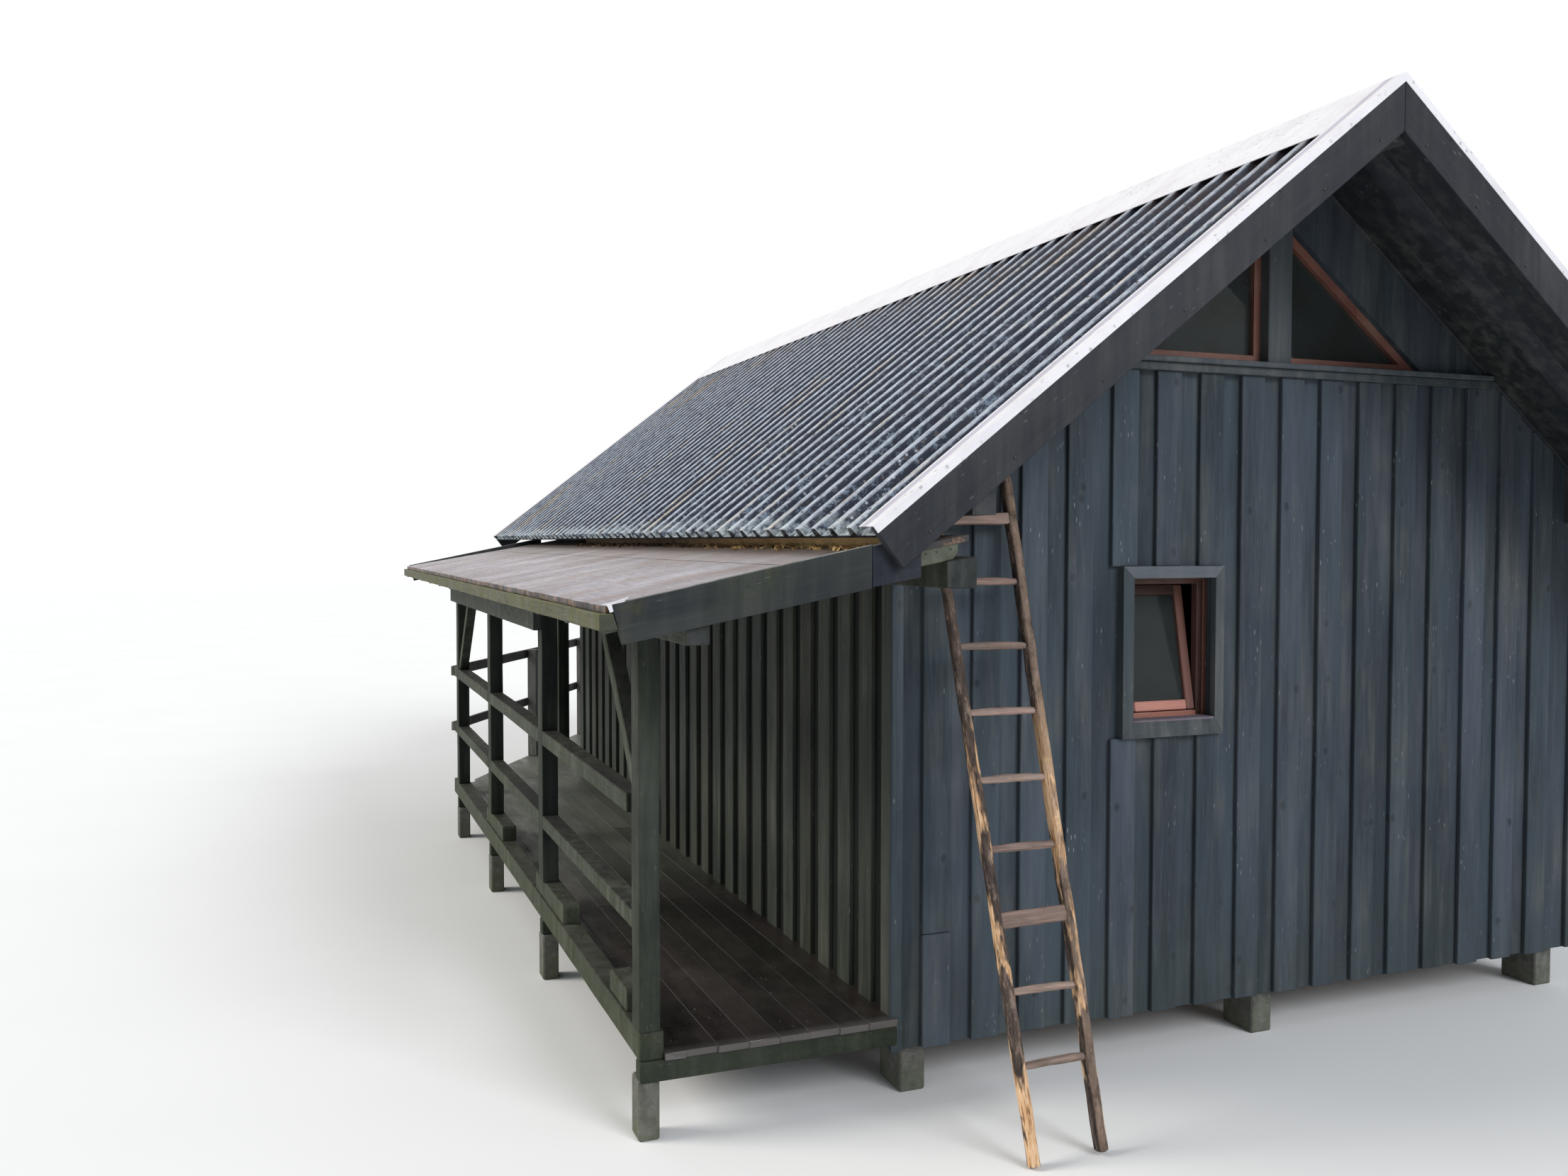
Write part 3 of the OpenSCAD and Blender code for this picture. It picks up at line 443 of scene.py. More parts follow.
def wood(key, name, body, dark, pale, streaks, wear, knots, chips=0.3, spread=0.35, algae=0.1, dust=0.3,
         damp=0.0, damp_height=0.9, dust_colour=(0.20, 0.20, 0.19), algae_colour=(0.070, 0.082, 0.040),
         sides=(), axis=None, specular=0.10, strength=0.5, rough_shift=0.0):
    """Stained or weathered wood. Each of sides is a direction, a colour, how much it covers, how strongly; a
    side's colour is moss and bleaching on some timbers and painted light and shade on others.
    """
    g = start_material(key, name)
    place = g.place()
    grain, tone = board_coordinates(g, place, axis)
    board = g.group("Board Grain", Vector=grain, Tone=tone, Colour=body, Dark=dark, Pale=pale,
                    Streaks=streaks, Wear=wear, Knots=knots, Chips=chips, Spread=spread)
    result = board["Colour"]
    for direction, growth_and_light, cover, amount in sides:
        flecked = g.mix(g.span(g.noise(grain, 22.0, 4.0, 0.6), 0.3, 0.7, 0.0, 0.6), growth_and_light, dark)
        result = g.group("Side Weather And Light", Vector=place, Colour=result, Growth=flecked, Direction=direction,
                         Scale=6.0, Cover=cover, Amount=amount)["Colour"]
    result = g.group("Weathering", Vector=place, Colour=result, Algae=algae, Dust=dust, Damp=damp,
                     Damp_Height=damp_height, Dust_Colour=dust_colour, Algae_Colour=algae_colour)["Colour"]
    g.surface(result, g.plus(board["Roughness"], rough_shift, clamp=True), (board["Height"], strength, 0.003),
              Specular_IOR_Level=specular)


def roof_finish(trough, crown_highlight):
    """Coated ribbed sheet: dark glossy troughs, crowns and upper rib sides painted pale as sky reflection
    (some wear on the crowns), lichen towards the eave.
    """
    g = start_material("roof", "Coated roof sheets")
    place = g.place()
    across, along, height = g.split(place)
    side = g.math("ABSOLUTE", g.minus(across, HOUSE_W / 2))
    deep = g.times(g.minus(g.minus(RIDGE_Z, g.times(side, TAN_P)), height), COS_P)
    run = g.math("DIVIDE", g.minus(HOUSE_W / 2 - EAVE_X, side), COS_P)
    streak = g.noise(g.stretch(place, 0.12, 1.0, 0.12), 34.0, 4.0, 0.65)
    blotch = g.noise(place, 2.1, 4.0, 0.6)
    base = g.mix(g.times(g.span(streak, 0.38, 0.66), 0.35), trough, (0.027, 0.034, 0.056))
    # Painted reflection: the upper sides of the ribs go a paler blue towards the crowns.
    base = g.mix(g.times(g.span(deep, 0.036, 0.008), 0.35), base, (0.044, 0.056, 0.086))
    breaks = g.noise(g.stretch(place, 0.5, 1.6, 0.5), 30.0, 6.0, 0.8)
    # Painted highlight with some wear: this mask lays the pale crown colour on the rib tops, mostly as the
    # sky's reflection.
    worn = g.times(g.span(deep, 0.010, 0.005), g.span(breaks, 0.38, 0.56, 0.20, 1.0))
    warm = g.span(g.noise(g.stretch(place, 0.3, 1.0, 0.3), 3.1, 4.0, 0.7), 0.54, 0.66)
    base = g.mix(worn, base, g.mix(warm, crown_highlight, (0.60, 0.50, 0.38)))
    by_ridge = g.span(run, SLOPE_L - 1.1, SLOPE_L - 0.3, 0.0, 0.55)
    base = g.mix(g.times(by_ridge, g.span(streak, 0.40, 0.62)), base, (0.10, 0.062, 0.045))
    low_zone = g.span(run, 2.6, 0.0, 0.10, 1.0)
    front_zone = g.span(along, 3.5, -0.3, 0.35, 1.0)
    grow = g.times(g.times(low_zone, front_zone), g.span(blotch, 0.40, 0.58, 0.12, 1.0))
    cloud = g.span(g.noise(g.stretch(place, 0.5, 1.0, 0.5), 44.0, 6.0, 0.85), 0.53, 0.60)
    base = g.mix(g.times(cloud, g.times(grow, 0.85)), base, (0.31, 0.39, 0.50))
    end = g.times(g.span(run, 0.14, 0.02), g.span(g.noise(place, 30.0, 4.0, 0.7), 0.38, 0.60))
    base = g.mix(g.times(end, 0.85), base, (0.48, 0.54, 0.56))
    base = g.group("Specks", Vector=place, Colour=base, Speck=(0.72, 0.77, 0.82), Scale=30.0,
                   Amount=grow)["Colour"]
    base = g.group("Specks", Vector=g.vector("ADD", place, (3.1, 1.7, 0.4)), Colour=base,
                   Speck=(0.13, 0.085, 0.055), Scale=23.0, Amount=0.45)["Colour"]
    g.surface(base, g.plus(0.38, g.times(g.span(streak, 0.3, 0.7), 0.26)),
              (g.noise(place, 55.0, 3.0, 0.6), 0.15, 0.002), Specular_IOR_Level=0.14)


def flashing_finish(metal):
    """Pale folded sheet metal: a lilac line along the outer fold, dull rain marks and dirt."""
    g = start_material("flashing", "Pale flashing")
    place = g.place()
    along = g.split(place)[1]
    from_verge = g.math("MINIMUM", g.minus(along, ROOF_Y0), g.minus(ROOF_Y1, along))
    run = g.span(g.noise(g.stretch(place, 0.3, 1.0, 0.3), 20.0, 4.0, 0.6), 0.40, 0.68)
    blotch = g.span(g.noise(place, 3.0, 5.0, 0.65), 0.45, 0.72)
    base = g.mix(g.times(run, 0.25), metal, (0.46, 0.45, 0.50))
    fold = g.times(g.span(from_verge, 0.052, 0.060), g.span(from_verge, 0.105, 0.096))
    base = g.mix(g.times(fold, 0.75), base, (0.34, 0.32, 0.42))
    base = g.mix(g.times(blotch, 0.28), base, (0.34, 0.31, 0.29))
    base = g.group("Specks", Vector=place, Colour=base, Speck=(0.12, 0.10, 0.08), Scale=26.0,
                   Amount=0.5)["Colour"]
    g.surface(base, g.plus(0.34, g.times(blotch, 0.25)), (g.noise(place, 14.0, 3.0, 0.5), 0.14, 0.004),
              Metallic=0.2, Specular_IOR_Level=0.5)


def glass_finish():
    """Clear greenish panes with a thin film and some dirt."""
    g = start_material("glass", "Window glass")
    place = g.place()
    film = g.span(g.noise(place, 6.0, 4.0, 0.6), 0.35, 0.75, 0.0, 0.02)
    dirt = g.span(g.noise(place, 7.0, 3.0, 0.6), 0.45, 0.75, 0.0, 0.6)
    g.surface(g.mix(dirt, (0.26, 0.30, 0.30), (0.20, 0.21, 0.19)), g.plus(film, g.times(dirt, 0.01)),
              Transmission_Weight=0.92, IOR=1.22)


def stone_finish():
    """Rough grey blocks, damp and green at their foot."""
    g = start_material("stone", "Foundation block")
    place = g.place()
    coarse = g.noise(place, 22.0, 6.0, 0.65)
    fine = g.noise(place, 140.0, 4.0, 0.6)
    base = g.mix(g.span(coarse, 0.35, 0.65), (0.060, 0.058, 0.057), (0.15, 0.145, 0.138))
    base = g.mix(g.span(fine, 0.50, 0.70, 0.0, 0.5), base, (0.055, 0.053, 0.052))
    base = g.group("Weathering", Vector=place, Colour=base, Algae=0.5, Dust=0.2, Damp=0.6,
                   Damp_Height=0.30)["Colour"]
    g.surface(base, g.span(fine, 0.3, 0.7, 0.78, 0.95), (g.plus(coarse, g.times(fine, 0.4)), 0.8, 0.006))


def porch_cover_finish():
    """Pale lilac-grey roof boards: brown clouds, dark pits, rough brown sawn edges."""
    g = start_material("porch_cover", "Covered deck roof boards")
    place = g.place()
    grain, tone = board_coordinates(g, place)
    fibre = g.noise(g.stretch(grain, 1.0, 1.0, 0.12), 60.0, 5.0, 0.65)
    cloud = g.noise(g.stretch(place, 0.5, 1.0, 0.5), 2.6, 5.0, 0.62)
    brown = g.noise(g.stretch(place, 0.6, 1.0, 0.6), 4.0, 6.0, 0.7)
    base = g.mix(g.span(cloud, 0.36, 0.66), (0.39, 0.37, 0.42), (0.25, 0.225, 0.245))
    base = g.mix(g.span(brown, 0.44, 0.62, 0.0, 0.75), base, (0.25, 0.175, 0.145))
    base = g.mix(g.span(fibre, 0.44, 0.64, 0.0, 0.55), base, (0.15, 0.14, 0.15))
    by_wall = g.span(g.plus(g.split(place)[0], g.times(cloud, 0.22)), -0.74, -0.30)
    base = g.mix(g.times(by_wall, 0.75), base, (0.085, 0.060, 0.042))
    base = g.scaled(base, g.span(tone, 0.0, 1.0, 0.88, 1.10))
    base = g.group("Specks", Vector=place, Colour=base, Speck=(0.060, 0.045, 0.040), Scale=26.0,
                   Amount=1.0)["Colour"]
    base = g.group("Specks", Vector=g.vector("ADD", place, (0.7, 2.2, 0.1)), Colour=base,
                   Speck=(0.100, 0.070, 0.050), Scale=12.0, Amount=0.8)["Colour"]
    ragged = g.mix(g.span(g.noise(place, 11.0, 5.0, 0.75), 0.47, 0.56), (0.010, 0.008, 0.008),
                   (0.150, 0.080, 0.045))
    base = g.mix(g.span(g.split(g.normal())[2], 0.80, 0.55), base, ragged)
    g.surface(base, g.span(cloud, 0.3, 0.7, 0.42, 0.62), (fibre, 0.25, 0.003), Specular_IOR_Level=0.5)


def deck_finish():
    """Trodden boards: dark shiny brown near the front, pale grey-green at the far end, scuffed."""
    g = start_material("deck", "Worn deck boards")
    place = g.place()
    grain, tone = board_coordinates(g, place)
    along = g.split(place)[1]
    near = g.group("Board Grain", Vector=grain, Tone=tone, Colour=(0.012, 0.009, 0.009),
                   Dark=(0.005, 0.004, 0.005), Pale=(0.056, 0.044, 0.040), Streaks=0.7, Wear=0.75, Knots=0.3,
                   Chips=0.55, Spread=0.5)
    far = g.group("Board Grain", Vector=grain, Tone=tone, Colour=(0.080, 0.088, 0.070),
                  Dark=(0.030, 0.033, 0.027), Pale=(0.18, 0.18, 0.15), Streaks=0.6, Wear=0.5, Knots=0.3,
                  Chips=0.3, Spread=0.4)
    drift = g.times(g.minus(g.noise(place, 2.4, 4.0, 0.6), 0.5), 1.8)
    there = g.span(g.plus(along, drift), 1.7, 3.6, smooth=True)
    base = g.mix(there, near["Colour"], far["Colour"])
    base = g.mix(g.times(g.span(along, 0.045, -0.015), 0.55), base, (0.11, 0.10, 0.095))
    base = g.group("Weathering", Vector=place, Colour=base, Algae=0.15, Dust=0.25,
                   Dust_Colour=(0.07, 0.06, 0.055), Damp=0.0)["Colour"]
    shine = g.span(g.noise(g.stretch(place, 1.0, 0.35, 1.0), 5.0, 5.0, 0.65), 0.34, 0.64, 0.22, 0.55)
    g.surface(base, g.plus(shine, g.times(there, 0.22), clamp=True), (near["Height"], 0.45, 0.003),
              Specular_IOR_Level=0.5)


def ladder_finish(bark_colour):
    """Old split poles: grooved dark bark, bright orange patches low on the stiles that are painted sunlight,
    and paler front faces on the square stile that are painted light.
    """
    g = start_material("ladder", "Weathered ladder wood")
    place = g.place()
    grain, tone = board_coordinates(g, place)
    board = g.group("Board Grain", Vector=grain, Tone=tone, Colour=bark_colour, Dark=(0.018, 0.013, 0.011),
                    Pale=(0.20, 0.135, 0.095), Streaks=0.9, Wear=0.8, Knots=0.6, Chips=0.4, Spread=0.2)
    groove = g.noise(g.stretch(grain, 1.0, 1.0, 0.10), 95.0, 4.0, 0.7)
    patch = g.noise(g.stretch(grain, 1.0, 1.0, 0.30), 9.0, 4.0, 0.6)
    flakes = g.noise(g.stretch(grain, 1.0, 1.0, 0.22), 48.0, 5.0, 0.75)
    bark = g.mix(g.span(flakes, 0.53, 0.60, 0.0, 0.85), board["Colour"], (0.21, 0.155, 0.130))
    bark = g.mix(g.span(flakes, 0.47, 0.41, 0.0, 0.85), bark, (0.010, 0.008, 0.008))
    # Painted sunlight: bright orange patches low on the stiles, coloured like fresh wood.
    sunlit_patch = g.times(g.span(patch, 0.485, 0.53), g.span(g.split(place)[2], 1.75, 1.35))
    sunlit_patch = g.times(sunlit_patch, g.span(groove, 0.36, 0.46, 0.25, 1.0))
    base = g.mix(sunlit_patch, bark, g.mix(g.span(groove, 0.42, 0.60), (0.52, 0.28, 0.12), (0.74, 0.52, 0.33)))
    # Painted light: front faces turn a paler brown by each piece's tone, most on the square stile.
    base = g.group("Side Weather And Light", Vector=place, Colour=base, Growth=(0.24, 0.165, 0.120), Direction=FRONT,
                   Scale=14.0, Cover=0.62, Amount=g.times(tone, 0.55))["Colour"]
    g.surface(base, g.plus(board["Roughness"], 0.08, clamp=True),
              (g.plus(groove, board["Height"]), 0.9, 0.004), Specular_IOR_Level=0.3)


def litter_finish():
    """Packed brown leaves, warmer and paler towards the front."""
    g = start_material("litter", "Fallen leaves")
    place = g.place()
    along = g.split(place)[1]
    clump = g.noise(place, 60.0, 5.0, 0.7)
    base = g.mix(g.span(clump, 0.38, 0.62), (0.11, 0.062, 0.032), (0.46, 0.27, 0.11))
    base = g.mix(g.times(g.attribute("tone", "Fac"), 0.9), base, (0.72, 0.46, 0.19))
    base = g.mix(g.span(along, 1.1, 0.3, 0.0, 0.55), base, (0.86, 0.60, 0.27))
    base = g.mix(g.span(g.noise(place, 9.0, 3.0, 0.5), 0.5, 0.7, 0.0, 0.4), base, (0.12, 0.105, 0.050))
    base = g.mix(g.span(along, 1.0, 2.2, 0.0, 0.75), base, (0.050, 0.035, 0.026))
    g.surface(base, g.span(clump, 0.3, 0.7, 0.7, 0.95), (clump, 0.8, 0.006))


def screw_finish():
    """Dull dark metal with small rusty spots."""
    g = start_material("screw", "Screw heads")
    spots = g.span(g.noise(g.place(), 160.0, 3.0, 0.6), 0.45, 0.62)
    g.surface(g.mix(spots, (0.030, 0.032, 0.037), (0.018, 0.014, 0.012)), g.plus(0.35, g.times(spots, 0.35)),
              Metallic=0.2, Specular_IOR_Level=0.3)


def shade(body, factor):
    """A colour made darker or lighter."""
    return tuple(min(1.0, c * factor) for c in body)


def cladding_finishes(stain, side):
    """Stained boards of the walls, the roof edges and the window."""
    pale, wall_algae = shade(stain, 2.0), (0.040, 0.050, 0.034)
    wood("gable_boards", "Stained gable boards", shade(stain, 0.90), shade(stain, 0.40), pale, 0.60, 0.45,
         0.95, chips=0.75, algae=0.18, dust=0.22, damp=0.30, damp_height=1.0, algae_colour=wall_algae)
    wood("wall_gable", "Stained gable wall", shade(stain, 0.78), shade(stain, 0.38), pale, 0.5, 0.3, 0.5,
         chips=0.5, algae=0.18, dust=0.20, damp=0.30, axis="Z", algae_colour=wall_algae)
    wood("side_boards", "Stained side boards", shade(side, 1.15), shade(side, 0.40), (0.095, 0.098, 0.072),
         0.6, 0.5, 0.5, chips=0.55, spread=0.6, algae=0.40, damp=0.55, damp_height=0.55,
         algae_colour=(0.070, 0.078, 0.048))
    # Painted shade: the wall behind the side boards is a third of the side stain, so that the recesses
    # between the boards read as shaded.
    wood("side_wall_painted_shade", "Stained side wall with painted shade", shade(side, 0.30), shade(side, 0.12), (0.020, 0.023, 0.022), 0.5,
         0.3, 0.4, algae=0.05, dust=0.05, damp=0.2, axis="Z", algae_colour=(0.020, 0.023, 0.016))
    wood("bargeboard", "Stained bargeboard", (0.024, 0.026, 0.032), (0.012, 0.013, 0.016),
         (0.058, 0.060, 0.066), 0.30, 0.30, 0.30, chips=0.4, algae=0.04, dust=0.12, rough_shift=-0.05)
    # Painted highlight: the verge boards' top faces take a pale grey, the sunlit line along their top edge;
    # the green on the front faces is moss.
    wood("verge", "Streaked verge board", (0.020, 0.024, 0.029), (0.009, 0.011, 0.014),
         (0.085, 0.090, 0.075), 0.45, 0.35, 0.3, chips=0.6, algae=0.75, dust=0.45,
         dust_colour=(0.080, 0.082, 0.072), algae_colour=(0.030, 0.036, 0.026),
         sides=((UP, (0.36, 0.36, 0.35), 0.9, 0.85), (FRONT, (0.070, 0.072, 0.026), 0.16, 0.60)))
    # Painted highlight: the patch's top faces take the same pale sunlit line.
    wood("verge_patch", "Newer verge board", (0.015, 0.018, 0.028), (0.008, 0.010, 0.015),
         (0.05, 0.056, 0.07), 0.3, 0.25, 0.2, algae=0.05, dust=0.1,
         sides=((UP, (0.30, 0.30, 0.31), 0.9, 0.8),))
    wood("sill", "Worn inner sill", (0.105, 0.090, 0.118), (0.050, 0.042, 0.055), (0.20, 0.18, 0.21), 0.5,
         0.5, 0.2, chips=0.4, algae=0.05)
    wood("trim", "Window trim", (0.047, 0.060, 0.068), (0.026, 0.033, 0.038), (0.115, 0.115, 0.130), 0.4,
         0.3, 0.2, chips=0.4, spread=1.1)


def timber_finishes(red_wood):
    """Rails, posts, beams, rafters, frames and other timber."""
    # Painted light and shade: the left faces take a lit olive and the very dark base stands for the shade on
    # the other faces; the paler tops are wear. Braces, kerb and loose strips share this finish.
    wood("rail", "Stained rails", (0.011, 0.015, 0.014), (0.005, 0.007, 0.007), (0.075, 0.080, 0.058), 0.5,
         0.5, 0.4, chips=0.35, algae=0.25, dust=0.25, damp=0.3,
         sides=((LEFT, (0.042, 0.049, 0.028), 1.0, 0.90), (UP, (0.036, 0.036, 0.032), 0.8, 0.8)))
    # Painted light and shade: the left faces take a lit olive and the very dark base stands for the shade on
    # the front faces.
    wood("post", "Posts with painted light and shade", (0.009, 0.013, 0.012), (0.004, 0.006, 0.006), (0.046, 0.054, 0.042), 0.5,
         0.35, 0.3, algae=0.22, dust=0.15, damp=0.25, sides=((LEFT, (0.024, 0.030, 0.019), 1.0, 0.85),))
    wood("beam", "Old roof timber", (0.017, 0.019, 0.017), (0.007, 0.008, 0.007), (0.08, 0.08, 0.066), 0.6,
         0.5, 0.4, algae=0.14, algae_colour=(0.034, 0.040, 0.032),
         sides=((FRONT, (0.036, 0.042, 0.043), 1.0, 0.75), (LEFT, (0.052, 0.060, 0.038), 1.0, 0.8)))
    wood("rafter", "Pale rafter ends", (0.038, 0.041, 0.033), (0.018, 0.019, 0.016), (0.13, 0.135, 0.11),
         0.6, 0.5, 0.4, chips=0.5, algae=0.3, sides=((FRONT, (0.125, 0.135, 0.105), 1.0, 0.85),))
    wood("terrace", "Lichen-grey rails", (0.110, 0.110, 0.108), (0.030, 0.031, 0.031), (0.36, 0.36, 0.34),
         0.7, 0.9, 0.4, chips=0.8, algae=0.2, dust=0.5, damp=0.2, dust_colour=(0.34, 0.34, 0.33))
    wood("plate", "Roof timber", (0.036, 0.040, 0.044), (0.015, 0.017, 0.019), (0.10, 0.10, 0.10), 0.5, 0.3,
         0.4, dust=0.2, axis="Y")
    wood("soffit", "Underside of the roof boards", (0.019, 0.022, 0.028), (0.008, 0.009, 0.012),
         (0.05, 0.054, 0.06), 0.5, 0.3, 0.5, spread=1.0, dust=0.2)
    wood("fascia", "Mossy fascia", (0.080, 0.080, 0.058), (0.020, 0.022, 0.013), (0.17, 0.17, 0.12), 0.8,
         0.8, 0.2, algae=0.5, strength=0.9, algae_colour=(0.090, 0.096, 0.036),
         sides=((LEFT, (0.108, 0.108, 0.040), 0.45, 0.90), (FRONT, (0.060, 0.068, 0.050), 1.0, 0.9),
                (UP, (0.15, 0.145, 0.05), 0.7, 0.8)))
    # Painted skylight: up-facing faces take a pale salmon, and the high spread lets each piece's tone set how
    # lit it looks.
    wood("red_painted_light", "Reddish window wood", shade(red_wood, 0.62), (0.09, 0.034, 0.028), (0.42, 0.21, 0.165),
         0.40, 0.25, 0.15, spread=1.7, algae=0.0, dust=0.08, specular=0.30, rough_shift=-0.18,
         sides=((UP, (0.52, 0.27, 0.215), 1.0, 0.7),))
    wood("red_axis", "Reddish gable frames", shade(red_wood, 0.45), (0.07, 0.028, 0.022), (0.28, 0.15, 0.12),
         0.40, 0.25, 0.15, algae=0.0, dust=0.1, axis="X", specular=0.25, rough_shift=-0.15)
    wood("floor_wood", "Inside floor wood", (0.16, 0.105, 0.065), (0.07, 0.045, 0.030), (0.30, 0.22, 0.15),
         0.5, 0.3, 0.3, algae=0.0, dust=0.2, axis="Y")
    wood("rung", "Worn ladder rungs", (0.275, 0.190, 0.158), (0.050, 0.036, 0.032), (0.42, 0.31, 0.26), 0.95,
         0.9, 0.3, spread=0.6, algae=0.08, dust=0.35, strength=0.8)


# mesh building


def bridge(mesh, a, b):
    """Faces between two rings of points."""
    for k in range(len(a)):
        after = (k + 1) % len(a)
        mesh.faces.new((a[k], a[after], b[after], b[k]))


def circle(sides):
    """Points round a circle of radius 1."""
    turns = [2 * math.pi * k / sides for k in range(sides)]
    return [(math.cos(turn), math.sin(turn)) for turn in turns]


def square_to(axis, guide):
    """Two directions square to an axis and to each other."""
    side = axis.cross(guide if abs(axis.dot(guide)) < 0.9 else ACROSS).normalized()
    return side, axis.cross(side)


def fibre_coordinates(points, fibre, offset):
    """Grain coordinates of points, with the fibre's direction as Z."""
    side = fibre.orthogonal().normalized()
    other = fibre.cross(side)
    return [Vector((p.dot(side), p.dot(other), p.dot(fibre))) + offset for p in points]


NOISE_SEED = 1


class Lumber:
    """Gathers the boards, beams and poles of one object. Its random numbers and the noise that roughens
    its cut timber start from fixed seeds."""

    def __init__(self, seed):
        self.bm = bmesh.new()
        self.grain = self.bm.verts.layers.float_vector.new("grain")
        self.tone = self.bm.verts.layers.float.new("tone")
        self.random = random.Random(seed)
        noise.seed_set(NOISE_SEED)

    def ring(self, points, coords, tone):
        """New vertices with their grain coordinates and the piece's tone."""
        made = []
        for point, coord in zip(points, coords):
            vert = self.bm.verts.new(point)
            vert[self.grain] = coord
            vert[self.tone] = tone
            made.append(vert)
        return made

    def skin(self, rings):
        """Faces from ring to ring, then one over each end."""
        for a, b in zip(rings, rings[1:]):
            bridge(self.bm, a, b)
        self.bm.faces.new(rings[0][::-1])
        self.bm.faces.new(rings[-1])

    def offset(self):
        """A random shift of the grain, so that each piece shows a figure of its own."""
        return Vector([self.random.uniform(0, 9) for _ in range(3)])

    def plank(self, start, end, across, width, thick, edge=0.003, wobble=0.0, tone=None, end_skew=0.0,
              step=0.35, end_wear=0.0):
        """A board from start to end along its middle line; across gives the way its width lies.
        The skew slides its end along the board, per metre across it."""
        rnd = self.random
        axis = (end - start).normalized()
        across = (across - axis * across.dot(axis)).normalized()
        deep = axis.cross(across)
        length = (end - start).length
        tone = rnd.random() if tone is None else tone
        w, t, c = width / 2, thick / 2, min(edge, thick * 0.4, width * 0.4)
        outline = [(-w + c, -t), (w - c, -t), (w, -t + c), (w, t - c), (w - c, t), (-w + c, t), (-w, t - c),
                   (-w, -t + c)]
        cuts = max(1, int(length / step))
        stations = [0.0, c] + [length * k / cuts for k in range(1, cuts)] + [length - c, length]
        tail = len(stations) - 1
        offset = self.offset()
        bow_u = bow_v = 0.0
        rings = []
        for n, s in enumerate(stations):
            at_end = n in (0, tail)
            if 1 < n < tail:
                bow_u = rnd.uniform(-wobble, wobble)
                bow_v = rnd.uniform(-wobble, wobble) * 0.6
            bow = Vector() if at_end else across * bow_u + deep * bow_v
            points, coords = [], []
            for u, v in outline:
                slide = s
                if at_end:
                    u -= math.copysign(c, u)
                    v -= math.copysign(c, v)
                if n >= tail - 1:
                    slide += u * end_skew
                if at_end and end_wear:
                    slide += rnd.uniform(0, end_wear) * (1 if n == 0 else -1)
                points.append(start + axis * slide + across * u + deep * v + bow)
                coords.append(Vector((u, v, s)) + offset)
            rings.append(self.ring(points, coords, tone))
        self.skin(rings)

    def box(self, low, high, along="Z", **values):
        """A beam that fills the box from low to high in the house's frame."""
        low, high = Vector(low), Vector(high)
        run, wide, deep = {"X": (0, 1, 2), "Y": (1, 0, 2), "Z": (2, 0, 1)}[along]
        start, end, size = (low + high) / 2, (low + high) / 2, high - low
        start[run], end[run] = low[run], high[run]
        self.plank(at(*start), at(*end), ALONG if along == "X" else ACROSS, size[wide], size[deep], **values)

    def prism(self, outline, shift, fibre, edge=0.003, rough=0.0, every=0.0, tone=None, scale=7.0):
        """A solid from a flat outline pushed along shift, with eased edges; its grain follows fibre.
        Rough moves its skin about, on cuts that lie every so far along the fibre."""
        tone = self.random.random() if tone is None else tone
        offset = self.offset()
        shift, fibre = Vector(shift), Vector(fibre).normalized()
        part = bmesh.new()
        low = [part.verts.new(p) for p in outline]
        high = [part.verts.new(p + shift) for p in outline]
        part.faces.new(low[::-1])
        part.faces.new(high)
        bridge(part, low, high)
        bmesh.ops.bevel(part, geom=part.edges[:], offset=edge, segments=1, profile=0.5, affect="EDGES",
                        clamp_overlap=True)
        if every:
            reach = [v.co.dot(fibre) for v in part.verts]
            start, whole = min(reach), max(reach) - min(reach)
            cuts = int(whole / every)
            for k in range(1, cuts + 1):
                bmesh.ops.bisect_plane(part, geom=part.verts[:] + part.edges[:] + part.faces[:],
                                       plane_co=fibre * (start + whole * k / (cuts + 1)), plane_no=fibre)
        corners = [vert.co for vert in part.verts]
        points = [corner + noise.noise_vector(corner * scale + offset) * rough for corner in corners]
        verts = self.ring(points, fibre_coordinates(corners, fibre, offset), tone)
        part.verts.index_update()
        # the faces go in by their lowest corner, because cutting leaves them in no fixed order
        faces = []
        for face in part.faces:
            loop = [vert.index for vert in face.verts]
            first = loop.index(min(loop))
            faces.append(loop[first:] + loop[:first])
        for face in sorted(faces):
            self.bm.faces.new([verts[k] for k in face])
        part.free()

    def pole(self, points, radii, sides=14, rough=0.0, scale=9.0, tone=None, groove=0.0):
        """A round pole through points, with its radius at each, roughened and grooved like split wood."""
        tone = self.random.random() if tone is None else tone
        offset = self.offset()
        travelled = 0.0
        rings = []
        for n, (point, radius) in enumerate(zip(points, radii)):
            before, after = points[max(0, n - 1)], points[min(len(points) - 1, n + 1)]
            side, other = square_to((after - before).normalized(), ALONG)
            travelled += (point - before).length
            ring_points, coords = [], []
            for u, v in circle(sides):
                swell = noise.noise(Vector((u * 0.8, v * 0.8, travelled * scale)) + offset)
                furrow = noise.noise(Vector((u * 5, v * 5, travelled * 2.5)) + offset)
                reach = radius * (1 + rough * swell - groove * max(0.0, furrow))
                ring_points.append(point + (side * u + other * v) * reach)
                coords.append(Vector((u * radius, v * radius, travelled)) + offset)
            rings.append(self.ring(ring_points, coords, tone))
        self.skin(rings)

    def head(self, centre, out, radius, height=0.003, sides=10):
        """A domed screw head on a face that looks along out."""
        out = out.normalized()
        side, other = square_to(out, UP)
        rings = []
        for wide, high in ((1.0, -0.2), (1.0, 0.35), (0.72, 0.85), (0.25, 1.0)):
            points = [centre + out * height * high + (side * u + other * v) * radius * wide
                      for u, v in circle(sides)]
            rings.append(self.ring(points, points, 0.5))
        self.skin(rings)

